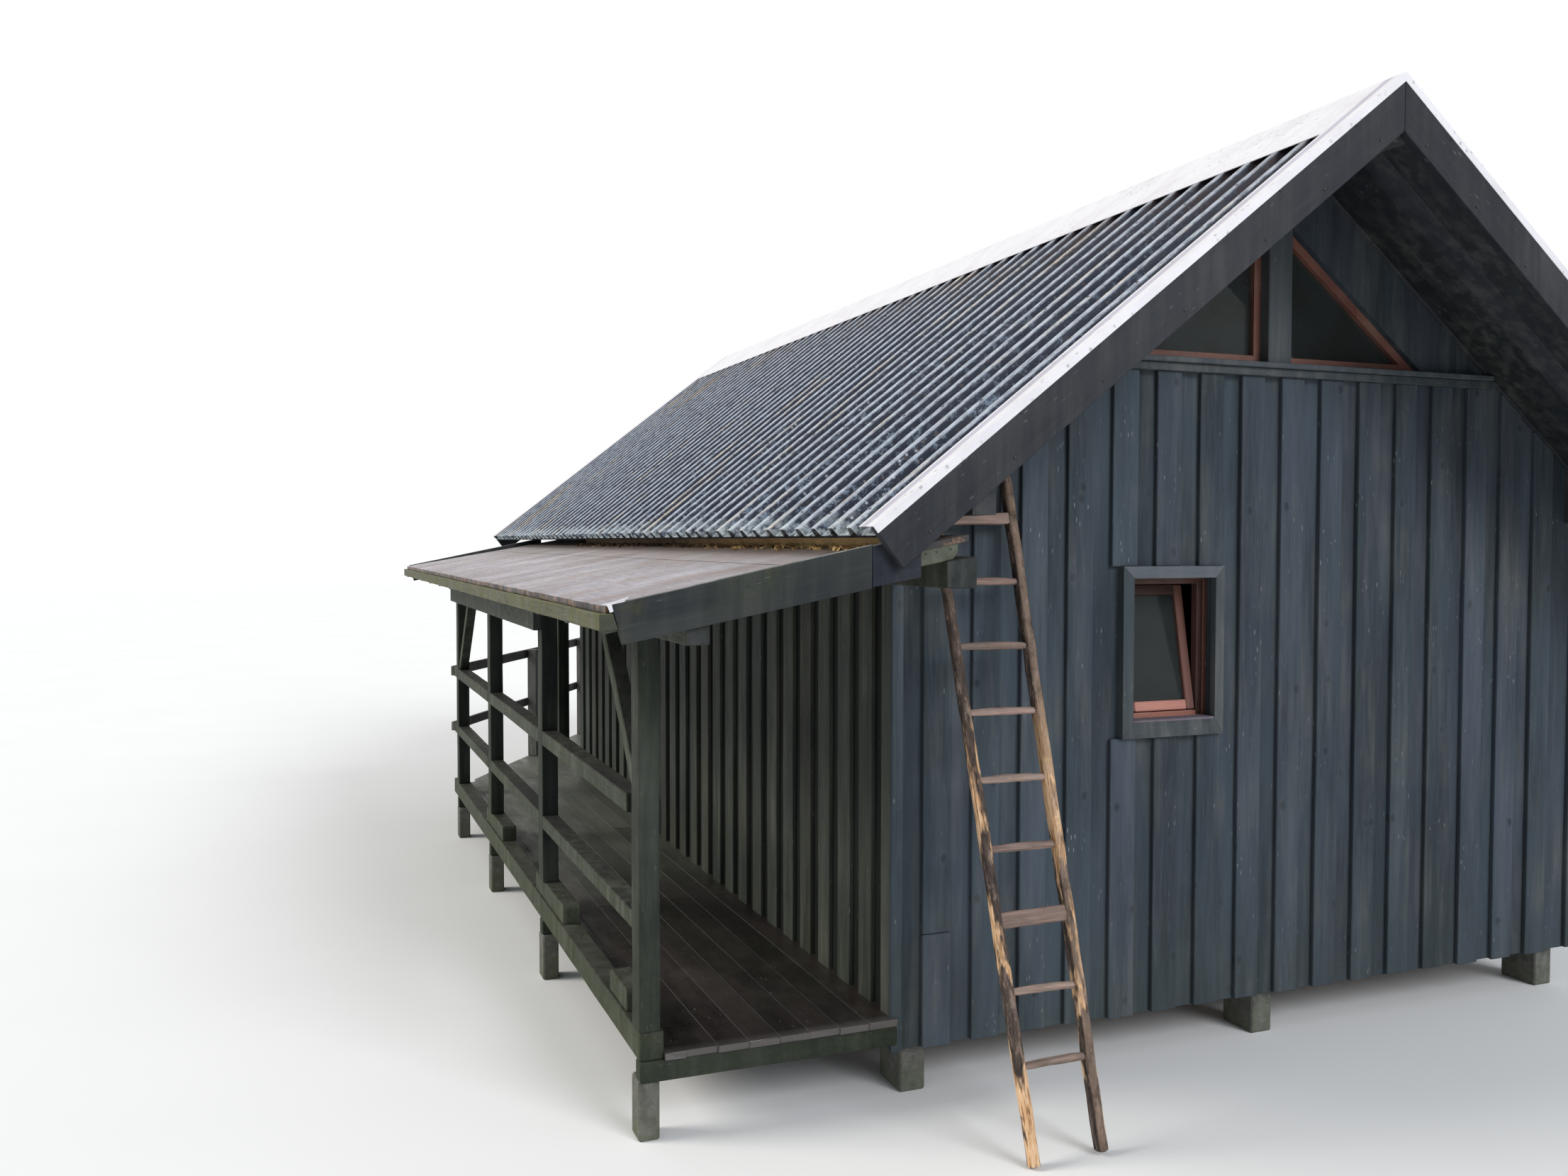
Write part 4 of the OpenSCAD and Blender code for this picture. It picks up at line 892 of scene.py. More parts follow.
    def leaf(self, centre, length, turn, tilt, roll, thick=0.0008):
        """A small curled leaf with a stalk end and a tip."""
        spin = Euler((tilt, roll, turn)).to_matrix()
        tone = self.random.random()
        outline = [(-0.5, 0.0), (-0.2, 0.24), (0.18, 0.22), (0.5, 0.0), (0.18, -0.22), (-0.2, -0.24)]
        curl = self.random.uniform(0.1, 0.35)
        rings = []
        for level in (thick / 2, -thick / 2):
            shape = [Vector((u * length, v * length, (u * u + v * v) * curl * length + level))
                     for u, v in outline]
            points = [centre + spin @ point for point in shape]
            rings.append(self.ring(points, points, tone))
        self.skin(rings)

    def finish(self, name, material, slot, replaces=(), smooth=None):
        """Ends the object: its material, the solids it stands for and the body that it rides on."""
        bmesh.ops.recalc_face_normals(self.bm, faces=self.bm.faces)
        mesh = bpy.data.meshes.new(name)
        self.bm.to_mesh(mesh)
        self.bm.free()
        made = bpy.data.objects.new(name, mesh)
        bpy.context.scene.collection.objects.link(made)
        mesh.materials.append(MATERIALS[material])
        if smooth is not None:
            mesh.shade_smooth()
            mesh.set_sharp_from_angle(angle=math.radians(smooth))
        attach(made, "root")
        if replaces:
            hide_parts(*replaces)


def dress(nodes, material):
    """Gives CAD solids their finish."""
    for name in nodes:
        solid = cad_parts[name]
        if not solid.material_slots:
            raise RuntimeError("solid without a material slot: " + name)
        for slot in solid.material_slots:
            slot.material = MATERIALS[material]


def solids_of(name):
    """Lowest and highest corners, in the house's frame, of each separate solid of a node."""
    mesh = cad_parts[name].data
    keys = [tuple(round(c, 5) for c in vert.co) for vert in mesh.vertices]
    parent = {key: key for key in keys}

    def root(key):
        while parent[key] != key:
            key = parent[key]
        return key

    for polygon in mesh.polygons:
        first = root(keys[polygon.vertices[0]])
        for index in polygon.vertices[1:]:
            parent[root(keys[index])] = first
    found = {}
    for key in parent:
        found.setdefault(root(key), []).append(key)
    boxes = [[Vector([pick(p[k] for p in points) for k in range(3)]) - ORIGIN for pick in (min, max)]
             for points in found.values()]
    return sorted(boxes, key=lambda box: (round(box[0].y, 4), round(box[0].x, 4), round(box[0].z, 4)))


# operators


class TREEHOUSE_OT_finishes(bpy.types.Operator):
    """Builds every finish and gives the kept solids theirs"""

    bl_idname = "treehouse.finishes"
    bl_label = "Finishes"

    def execute(self, context):
        colours = context.scene.th_colours
        for build in (build_board_grain, build_weather, build_facing, build_specks):
            build()
        cladding_finishes(colours.stain, colours.stain_side)
        timber_finishes(colours.red_wood)
        roof_finish(colours.roof, colours.crown_highlight)
        flashing_finish(colours.flashing)
        ladder_finish(colours.ladder)
        for build in (deck_finish, porch_cover_finish, glass_finish, stone_finish, litter_finish,
                      screw_finish):
            build()
        dress(["front_wall", "back_wall"], "wall_gable")
        dress(["left_wall", "right_wall"], "side_wall_painted_shade")
        dress(["roof_sheet_left", "roof_sheet_right"], "roof")
        dress(["ridge_cap", "verge_flashing_front", "verge_flashing_back"], "flashing")
        dress(["window_glass", "gable_glass", "back_gable_glass"], "glass")
        dress(["floor", "floor_beams"], "floor_wood")
        dress(["wall_plates", "ridge_beam"], "plate")
        return {"FINISHED"}


def spans_clear(low, high, blocks):
    """The parts of low..high that no (start, end) block covers."""
    spans = [(low, high)]
    for start, end in blocks:
        parts = [part for a, b in spans for part in ((a, min(b, start)), (max(a, end), b))]
        spans = [(a, b) for a, b in parts if b > a]
    return spans


# How far a fitted board strays: along the wall, at its foot, and out of the wall.
STRAY, FOOT_STRAY, PROUD = 0.002, (-0.004, 0.003), 0.0015
BOARD_BOW = 0.0012


class TREEHOUSE_OT_gable_cladding(bpy.types.Operator):
    """Raised boards of the front and back gables"""

    bl_idname = "treehouse.gable_cladding"
    bl_label = "Gable cladding"

    def execute(self, context):
        sizes = context.scene.th_cladding
        trim_low, trim_high = node_box("window_trim")
        sill_low = node_box("gable_sill")[0].z
        sill_half = (RIDGE_Z - DECK_DROP - sill_low) / TAN_P
        smallest = 0.02
        for name, front, seed in (("gable_boards_front", True, 3), ("gable_boards_back", False, 4)):
            lumber = Lumber(seed)
            rnd = lumber.random
            y0, y1 = (0.0, BOARD_T) if front else (HOUSE_L - BOARD_T, HOUSE_L)
            corner, width = sizes.corner_width, sizes.board_width
            edges = [(0.0, corner), (HOUSE_W - corner, HOUSE_W)]
            x = sizes.first_gable
            while x + width < HOUSE_W - corner - smallest:
                edges.append((x, x + width))
                x += sizes.board_pitch
            for x0, x1 in edges:
                x0 += rnd.uniform(-STRAY, STRAY) if x0 > 0.0 else 0.0
                mid = (x0 + x1) / 2
                top = min(roof_line(x0), roof_line(x1)) - DECK_DROP - 0.004
                if mid < corner or mid > HOUSE_W - corner:
                    top = WALL_TOP
                if abs(mid - HOUSE_W / 2) < sill_half:
                    top = sill_low + 0.001
                meets_trim = front and trim_low.x < x1 and x0 < trim_high.x
                passes_trim = x0 < trim_low.x and x1 > trim_high.x
                blocks = [(trim_low.z, trim_high.z)] if meets_trim and not passes_trim else []
                low = WALL_BASE + rnd.uniform(*FOOT_STRAY)
                for z0, z1 in spans_clear(low, top, blocks):
                    if z1 - z0 < smallest:
                        continue
                    skew = 0.0
                    if z1 == top and WALL_TOP < top < sill_low:
                        skew = TAN_P if mid < HOUSE_W / 2 else -TAN_P
                        z1 += (x1 - x0) / 2 * TAN_P
                    proud = abs(rnd.uniform(-PROUD, PROUD))
                    y_mid = (y0 + y1) / 2 + (proud if front else -proud)
                    if front and abs(x0 - sizes.first_gable) < 2 * STRAY:
                        joint = sizes.joint_height
                        lumber.plank(at(mid, y_mid, z0), at(mid, y_mid, joint - 0.002), ACROSS, x1 - x0,
                                     BOARD_T, sizes.edge, 0.0008, tone=0.95)
                        z0 = joint + 0.001
                    lumber.plank(at(mid, y_mid, z0), at(mid, y_mid, z1), ACROSS, x1 - x0, BOARD_T, sizes.edge,
                                 BOARD_BOW, end_skew=skew)
            lumber.finish(name, "gable_boards", "wall_boards")
        return {"FINISHED"}


class TREEHOUSE_OT_side_cladding(bpy.types.Operator):
    """Raised boards of the side walls"""

    bl_idname = "treehouse.side_cladding"
    bl_label = "Side cladding"

    def execute(self, context):
        sizes = context.scene.th_cladding
        pitch, corner_end, last_gap = sizes.board_pitch - 0.002, 0.106, 0.13
        for name, left, seed in (("side_boards_left", True, 5), ("side_boards_right", False, 6)):
            lumber = Lumber(seed)
            rnd = lumber.random
            x0, x1 = (0.0, BOARD_T) if left else (HOUSE_W - BOARD_T, HOUSE_W)
            edges = [(BOARD_T, corner_end), (HOUSE_L - corner_end, HOUSE_L - BOARD_T)]
            y = sizes.first_side
            while y + sizes.board_width < HOUSE_L - last_gap:
                edges.append((y, y + sizes.board_width))
                y += pitch
            for y0, y1 in edges:
                y0 += rnd.uniform(-STRAY, STRAY)
                mid = (y0 + y1) / 2
                proud = rnd.uniform(0, PROUD)
                x_mid = (x0 + x1) / 2 + (proud if left else -proud)
                low = WALL_BASE + rnd.uniform(*FOOT_STRAY)
                lumber.plank(at(x_mid, mid, low), at(x_mid, mid, WALL_TOP - 0.001), ALONG, y1 - y0, BOARD_T,
                             sizes.edge, BOARD_BOW)
            lumber.finish(name, "side_boards" if left else "gable_boards", "wall_boards")
        return {"FINISHED"}


class TREEHOUSE_OT_bargeboards(bpy.types.Operator):
    """Wide boards on the edges of the roof, with their screws"""

    bl_idname = "treehouse.bargeboards"
    bl_label = "Bargeboards"

    def execute(self, context):
        timber = context.scene.th_timber
        depth, flash = 0.185, 0.003
        middle = (depth + flash) / 2
        upper = (0.124, 0.690, 1.103, 1.576, 2.139, 2.610)
        lower = (0.158, 0.590, 1.054, 1.499, 1.975, 2.324, 2.690)
        on_flashing = (0.35, 1.10, 1.98, 2.75)
        fronts = ("bargeboard_front_left", "bargeboard_front_right")
        plans = (("bargeboard_worn_front", ROOF_Y0, 1, fronts, 21),
                 ("bargeboard_worn_back", ROOF_Y1, -1, ("bargeboards_back",), 22))
        screws = Lumber(23)
        for name, y_face, inward, nodes, seed in plans:
            lumber = Lumber(seed)
            y_mid = y_face + inward * BARGE_T / 2
            for left in (True, False):
                start = slope_point(0.0, middle, y_mid, left)
                end = slope_point(SLOPE_L - middle * TAN_P, middle, y_mid, left)
                across = slope_point(0.0, 0.0, y_mid, left) - slope_point(0.0, 1.0, y_mid, left)
                lumber.plank(start, end, across, depth - flash, BARGE_T, 0.003, 0.0006, end_skew=TAN_P,
                             step=0.6, tone=0.45)
                for row, d in ((upper, 0.035), (lower, 0.148)):
                    for s in row:
                        place = slope_point(s + screws.random.uniform(-0.01, 0.01), d, y_face, left)
                        screws.head(place, FRONT * inward, timber.screw_radius, 0.004)
            lumber.finish(name, "bargeboard", "trim_paint", nodes)
        for y_face, inward in ((ROOF_Y0 - 0.001, 1), (ROOF_Y1 + 0.001, -1)):
            for left in (True, False):
                for s in on_flashing:
                    place = slope_point(s, 0.016, y_face, left)
                    screws.head(place, FRONT * inward, timber.screw_radius * 0.7, 0.002)
        screws.finish("bargeboard_screws", "screw", "trim_paint", smooth=40)
        return {"FINISHED"}


class TREEHOUSE_OT_roof_boards(bpy.types.Operator):
    """Boards that run up the slopes under the roof sheets"""

    bl_idname = "treehouse.roof_boards"
    bl_label = "Roof boards"

    def execute(self, context):
        width = context.scene.th_cladding.soffit_board
        low, high = node_box("roof_deck_left")
        middle, thick = (ROOF_BOARD_TOP + ROOF_BOARD_FOOT) / 2, ROOF_BOARD_FOOT - ROOF_BOARD_TOP
        gap, narrowest = 0.003, 0.02
        for name, left, node, seed in (("roof_boards_left", True, "roof_deck_left", 25),
                                       ("roof_boards_right", False, "roof_deck_right", 26)):
            lumber = Lumber(seed)
            y = low.y
            while y < high.y - narrowest:
                y_end = min(y + width, high.y)
                mid = (y + y_end) / 2
                lumber.plank(slope_point(0.012, middle, mid, left),
                             slope_point(SLOPE_L - ROOF_BOARD_FOOT * TAN_P, middle, mid, left), ALONG,
                             y_end - y - gap, thick, 0.0025, 0.0006, step=1.2)
                y += width
            lumber.finish(name, "soffit", "trim_paint", (node,))
        return {"FINISHED"}


class TREEHOUSE_OT_roof_screws(bpy.types.Operator):
    """Screws on the crowns of the roof sheets"""

    bl_idname = "treehouse.roof_screws"
    bl_label = "Roof screws"

    def execute(self, context):
        timber = context.scene.th_timber
        bay, rib_top = ROOF_Y1 - ROOF_Y0 - 2 * BARGE_T, 0.040
        count = int((bay - rib_top) / RIB_PITCH)
        start = ROOF_Y0 + BARGE_T + (bay - (count - 1) * RIB_PITCH) / 2
        screws = Lumber(27)
        for left in (True, False):
            out = slope_point(0, 0, 0, left) - slope_point(0, 1, 0, left)
            for row, s in enumerate((0.10, 0.80, 1.55, 2.30)):
                for n in range(row % 2, count, 2):
                    y = start + n * RIB_PITCH + screws.random.uniform(-0.006, 0.006)
                    place = slope_point(s + screws.random.uniform(-0.015, 0.015), 0.003, y, left)
                    screws.head(place, out, timber.screw_radius * 1.1, 0.0025, 8)
        screws.finish("roof_sheet_screws", "screw", "roof_metal", smooth=40)
        return {"FINISHED"}


class TREEHOUSE_OT_window(bpy.types.Operator):
    """Splayed trim, frame and tilted sash of the small window"""

    bl_idname = "treehouse.window"
    bl_label = "Window"

    BAR = 0.042

    def execute(self, context):
        low, high = node_box("window_trim")
        left, right, top, bottom, set_back = 0.061, 0.039, 0.052, 0.065, 0.009
        x_in0, x_in1 = low.x + left, high.x - right
        z_in0, z_in1 = low.z + bottom, high.z - top
        y_in, y_back = low.y + set_back, high.y
        depths = low.y, y_in, y_back
        left_foot, right_foot = (low.x, low.z, x_in0, z_in0), (high.x, low.z, x_in1, z_in0)
        left_head, right_head = (low.x, high.z, x_in0, z_in1), (high.x, high.z, x_in1, z_in1)
        trim = Lumber(31)
        self.splayed(trim, left_foot, left_head, depths, UP, 0.40)
        self.splayed(trim, left_head, right_head, depths, ACROSS, 0.98)
        self.splayed(trim, right_head, right_foot, depths, UP, 0.45)
        self.splayed(trim, right_foot, left_foot, depths, ACROSS, 0.30)
        trim.finish("window_trim_boards", "trim", "trim_paint", ("window_trim",))
        sill_h, reach_in, play = 0.012, 0.040, 0.001
        sill = Lumber(34)
        sill.box((x_in0 + play, y_in + play, z_in0 - play / 2),
                 (x_in1 - play, y_back + reach_in, z_in0 + sill_h), "X", edge=0.002, tone=0.6)
        sill.finish("window_inner_sill", "sill", "trim_paint")
        frame_low, frame_high = node_box("window_frame")
        self.fixed_frame(frame_low, frame_high)
        self.sash(frame_low, frame_high)
        return {"FINISHED"}

    def splayed(self, lumber, a, b, depths, fibre, tone):
        """One mitred trim board from corner a to corner b, thinner at its inner edge."""
        y_out, y_in, y_back = depths
        offset = lumber.offset()
        gap = 0.0007
        made = []
        for (x_far, z_far, x_near, z_near), (other_x, other_z) in ((a, b[:2]), (b, a[:2])):
            shift_x = math.copysign(gap, other_x - x_far) if abs(other_x - x_far) > gap else 0.0
            shift_z = math.copysign(gap, other_z - z_far) if abs(other_z - z_far) > gap else 0.0
            x_far, x_near = x_far + shift_x, x_near + shift_x
            z_far, z_near = z_far + shift_z, z_near + shift_z
            ring = [at(x_far, y_back, z_far), at(x_far, y_out, z_far), at(x_near, y_in, z_near),
                    at(x_near, y_back, z_near)]
            made.append(lumber.ring(ring, fibre_coordinates(ring, fibre, offset), tone))
        lumber.skin(made)

    def fixed_frame(self, low, high):
        """The frame's deep bars, and the narrower lip on its outer side."""
        step_y, lap, lip = low.y + 0.018, 0.001, self.BAR * 0.55
        fixed = Lumber(32)
        # The tones are painted light and shade: with the window finish's high spread, the foot rails come out
        # light and the head rails and uprights dark.
        for wide, y0, y1, inset, upright, foot, head in (
                (self.BAR, step_y, high.y, 0.0, 0.02, 0.75, 0.0),
                (lip, low.y, step_y + lap, 0.0005, 0.10, 1.0, 0.08)):
            for x0, x1 in ((low.x, low.x + wide), (high.x - wide, high.x)):
                fixed.box((x0, y0, low.z + inset), (x1, y1, high.z - inset), "Z", tone=upright)
            for z0, z1, tone in ((low.z, low.z + wide, foot), (high.z - wide, high.z, head)):
                fixed.box((low.x + wide - lap, y0, z0), (high.x - wide + lap, y1, z1), "X", tone=tone)
        fixed.finish("window_fixed_frame", "red_painted_light", "red_frames", ("window_frame",))

    def sash(self, low, high):
        """The sash, hung at its foot and tilted inwards."""
        gap, wide, deep, edge, tilt = 0.004, 0.044, 0.034, 0.004, math.radians(10.5)
        x0, x1 = low.x + self.BAR + gap, high.x - self.BAR - gap
        tall = high.z - low.z - 2 * self.BAR - gap
        foot_y, foot_z = low.y + 0.020, low.z + self.BAR + deep * math.sin(tilt)
        up = Vector((0.0, math.sin(tilt), math.cos(tilt)))
        inward = Vector((0.0, math.cos(tilt), -math.sin(tilt)))
        sash = Lumber(33)

        def spot(x, height):
            return at(x, foot_y, foot_z) + up * height + inward * (deep / 2)

        # The tones are painted light and shade: the stiles and head rail dark, the foot rail light.
        for x in (x0 + wide / 2, x1 - wide / 2):
            sash.plank(spot(x, 0.0), spot(x, tall), ACROSS, wide, deep, edge, tone=0.20)
        for height, tone in ((wide / 2, 1.0), (tall - wide / 2, 0.0)):
            sash.plank(spot(x0 + wide - 0.001, height), spot(x1 - wide + 0.001, height), up, wide, deep, edge,
                       tone=tone)
        sash.finish("window_tilted_sash", "red_painted_light", "red_frames", ("window_sash",))


class TREEHOUSE_OT_gable_glazing(bpy.types.Operator):
    """Post, sill strips and frames of the glazed gables"""

    bl_idname = "treehouse.gable_glazing"
    bl_label = "Gable glazing"

    def execute(self, context):
        plans = (("gable_sill", "gable_post", "gable_frames", -1, 41),
                 ("back_gable_sill", "back_gable_post", "back_gable_frames", 1, 42))
        nose, nose_t = 0.018, 0.024
        for sill, post, frames, out, seed in plans:
            low, high = node_box(sill)
            lumber = Lumber(seed)
            wall_y = BOARD_T if out < 0 else HOUSE_L - BOARD_T
            strip_y, nose_y = (low.y + nose, low.y) if out < 0 else (high.y - nose, high.y)
            roof_z, mid = RIDGE_Z - DECK_DROP, HOUSE_W / 2
            step_z = high.z - nose_t
            for reach_z, y, z0, z1, tone in ((step_z, strip_y, low.z, step_z - 0.0005, 0.30),
                                             (high.z, nose_y, step_z, high.z, 0.55)):
                half = (roof_z - reach_z) / TAN_P
                lumber.box((mid - half, min(y, wall_y), z0), (mid + half, max(y, wall_y), z1), "X",
                           wobble=0.0008, tone=tone)
            p_low, p_high = node_box(post)
            lumber.box(p_low, p_high, "Z", edge=0.004, wobble=0.0006, tone=0.35)
            lumber.finish(sill + "_and_post", "trim", "trim_paint", (sill, post))
            dress([frames], "red_axis")
        return {"FINISHED"}


# the covered deck's own lines

POST_YS = (0.0, 1.943, 3.740, HOUSE_L - 0.520)
POST_FEET = (0.420, 0.510, 0.510, 0.420)
POST_D = 0.110
COVER_FALL, COVER_T = 0.176, 0.022
RAFTER_FALL, RAFTER_AT_WALL = 0.185, 2.2136
DOWN_THE_FALL = (1, 0, 0.18)
TURN_Y, TURN = HOUSE_L - 0.240, math.radians(31.0)


def cover_top(x):
    """Height of the covering's top over a place between the wall and the fascia."""
    return node_box("porch_roof")[1].z + COVER_FALL * x


def rafter_low(x):
    """Height of the rafters' underside."""
    return RAFTER_AT_WALL + RAFTER_FALL * x


def outline_xz(points, y):
    """Points given across and up, at one place along the house."""
    return [at(x, y, z) for x, z in points]


def outline_xy(points, z):
    """Points given across and along, at one height."""
    return [at(x, y, z) for x, y in points]


def outline_yz(points, x):
    """Points given along and up, at one place across the house."""
    return [at(x, y, z) for y, z in points]


class TREEHOUSE_OT_porch_frame(bpy.types.Operator):
    """Posts, beams and braces of the covered deck"""

    bl_idname = "treehouse.porch_frame"
    bl_label = "Covered deck timber"

    def execute(self, context):
        timber = context.scene.th_timber
        edge, wobble = timber.edge, timber.wobble
        low, high = node_box("porch_posts")
        posts = Lumber(51)
        for n, (y, z) in enumerate(zip(POST_YS, POST_FEET)):
            posts.box((low.x, y, z), (high.x, y + POST_D, high.z), "Z", edge=edge, wobble=wobble, step=0.22,
                      tone=0.9 if n == 0 else 0.25)
        posts.finish("porch_post_timbers", "post", "rail_paint", ("porch_posts",))
        self.beams(low.x, high.x, high.z)
        self.braces(low.x)
        self.splinters(high.x)
        return {"FINISHED"}

    def beams(self, x0, x1, z):
        """The beam on the posts with its outer board, and the beam along the wall."""
        b_low, b_high = node_box("porch_beam")
        beam = Lumber(52)
        beam.prism(outline_xz([(x0, z), (x1, z), (x1, rafter_low(x1)), (x0, rafter_low(x0))], b_low.y),
                   (0, b_high.y - b_low.y, 0), ALONG, 0.004, 0.0012, 0.5)
        beam.box((b_low.x, POST_YS[1], b_low.z), (x0, POST_YS[3] + POST_D, b_low.z + 0.120), "Y", edge=0.003,
                 wobble=0.001)
        beam.finish("porch_beam_timber", "beam", "roof_timber", ("porch_beam",))
        w_low, w_high = node_box("porch_wall_beam")
        wall = Lumber(53)
        shape = [(w_low.x, w_low.z), (w_high.x, w_low.z), (w_high.x, rafter_low(0.0)), (0.0, rafter_low(0.0)),
                 (w_low.x, rafter_low(w_low.x))]
        wall.prism(outline_xz(shape, w_low.y), (0, w_high.y - w_low.y, 0), ALONG, 0.004, 0.0012, 0.5)
        wall.finish("porch_wall_timber", "beam", "roof_timber", ("porch_wall_beam",))

    def braces(self, x):
        """Two square braces in the line of the posts, with cut ends."""
        low, high = node_box("porch_braces")
        thick, inset = 0.062, 0.008
        braces = Lumber(54)
        run, rise_over = 0.592, 0.020
        for y0, z0, y1 in ((low.y, 1.301, low.y + run), (high.y, 1.346, high.y - run)):
            z1 = high.z + rise_over
            length = math.hypot(y1 - y0, z1 - z0)
            dy, dz = (y1 - y0) / length, (z1 - z0) / length
            drop = thick / abs(dy)
            shape = [(y0, z0), (y1, z1), (y1, z1 - drop), (y0, z0 - drop)]
            if y1 > y0:
                shape = [(y0, z0 + drop), (y1, z1 + drop), (y1, z1), (y0, z0)]
            shape = outline_yz(clip_below(shape, high.z), x + inset)
            braces.prism(shape, (thick, 0, 0), (0, dy, dz), 0.004, 0.0015, 0.25, tone=0.8)
        braces.finish("porch_brace_timbers", "rail", "rail_paint", ("porch_braces",))

    def splinters(self, x):
        """A thin loose strip on the first post's inner edge, and its torn end."""
        strip = Lumber(55)
        strip.plank(at(x + 0.006, 0.030, 1.890), at(x + 0.005, 0.028, 1.330), ALONG, 0.022, 0.009, 0.002,
                    0.0015, step=0.07, end_wear=0.03)
        strip.plank(at(x + 0.004, 0.016, 1.420), at(x + 0.004, 0.014, 1.300), ALONG, 0.010, 0.005, 0.001,
                    0.001, step=0.04, end_wear=0.02)
        strip.finish("post_loose_strip", "rail", "rail_paint")


def clip_below(points, top):
    """An outline of (side, height) points with everything above top cut off."""
    kept = []
    for k, (a, z) in enumerate(points):
        b, other = points[(k + 1) % len(points)]
        if z <= top:
            kept.append((a, z))
        if (z <= top) != (other <= top):
            part = (top - z) / (other - z)
            kept.append((a + (b - a) * part, top))
    return kept


class TREEHOUSE_OT_porch_rafters(bpy.types.Operator):
    """Rafters, edge boards and fascia of the covered deck's roof"""

    bl_idname = "treehouse.porch_rafters"
    bl_label = "Covered deck rafters"

    def execute(self, context):
        low, high = node_box("porch_rafters")
        width, count, front_set_back, blunt = 0.048, 13, 0.044, 0.020
        step = (high.y - low.y - width) / (count - 1)
        rafters = Lumber(56)
        for n in range(count):
            y = low.y + n * step
            x_end = -front_set_back if n == 0 else 0.0
            shape = [(low.x, rafter_low(low.x)), (x_end - blunt, rafter_low(x_end - blunt)),
                     (x_end, rafter_low(x_end) + blunt), (x_end, cover_top(x_end) - COVER_T),
                     (low.x, cover_top(low.x) - COVER_T)]
            rafters.prism(outline_xz(shape, y), (0, width, 0), DOWN_THE_FALL, 0.003, 0.001, 0.4)
        rafters.finish("porch_rafter_timbers", "rafter", "roof_timber", ("porch_rafters",))
        holes = Lumber(57)
        for x in (-0.075, -0.130, -0.172):
            holes.head(at(x, low.y, rafter_low(x) + 0.040), FRONT, 0.004, 0.002, 8)
        holes.finish("rafter_end_nails", "screw", "roof_timber", smooth=40)
        self.verge_boards()
        self.fascia()
        return {"FINISHED"}

    def verge_boards(self):
        """The board on the front edge in two lengths, and the far one in a single length."""
        low, high = node_box("porch_verge_boards")
        thick, foot, lean, joint, play = 0.022, -1.261, 0.037, -0.386, 0.001
        foot_low, inner_low, foot_rise, inner_rise = 1.937, 2.141, 0.005, 0.040
        inner, outer = high.x, foot - lean

        def lower(x):
            return foot_low + (inner_low - foot_low) * (x - foot) / (inner - foot)

        def upper(x):
            return cover_top(x) + (foot_rise + (inner_rise - foot_rise) * (x - outer) / (inner - outer))

        tip = [(outer, upper(outer)), (foot, lower(foot))]
        main = tip + [(joint - play, lower(joint)), (joint - play, upper(joint))]
        patch = [(joint + play, upper(joint) - 0.004), (joint + play, lower(joint) + 0.004),
                 (inner, lower(inner)), (inner, upper(inner) - 0.003)]
        whole = tip + [(inner, lower(inner)), (inner, upper(inner))]
        boards = Lumber(58)
        for shape, y, every in ((main, low.y, 0.12), (whole, high.y - thick, 0.3)):
            boards.prism(outline_xz(shape, y), (0, thick, 0), DOWN_THE_FALL, 0.002, 0.0012, every, tone=0.5)
        boards.finish("porch_verge_boarding", "verge", "trim_paint", ("porch_verge_boards",))
        short = Lumber(59)
        short.prism(outline_xz(patch, low.y + play), (0, thick - 2 * play, 0), DOWN_THE_FALL, 0.002, 0.0008,
                    0.1, tone=0.5)
        short.finish("porch_verge_patch", "verge_patch", "trim_paint")

    def fascia(self):
        """The mossy strip along the outer edge, with its short returns."""
        low, high = node_box("porch_fascia")
        deep, play, end_w = 0.0225, 0.001, 0.022
        fascia = Lumber(60)
        fascia.box((low.x + 0.0012, low.y + play, low.z), (low.x + deep, high.y - play, high.z), "Y",
                   edge=0.002, wobble=0.0012, step=0.12, tone=0.6)
        shape = [(low.x + play, low.z + play), (low.x + 0.062, low.z + 0.004), (low.x + 0.046, high.z),
                 (low.x + play, high.z)]
        for y in (low.y, high.y - end_w):
            fascia.prism(outline_xz(shape, y), (0, end_w, 0), ACROSS, 0.002, 0.0006, 0.03, tone=0.3)
        fascia.finish("porch_fascia_strip", "fascia", "mossy_wood", ("porch_fascia",))


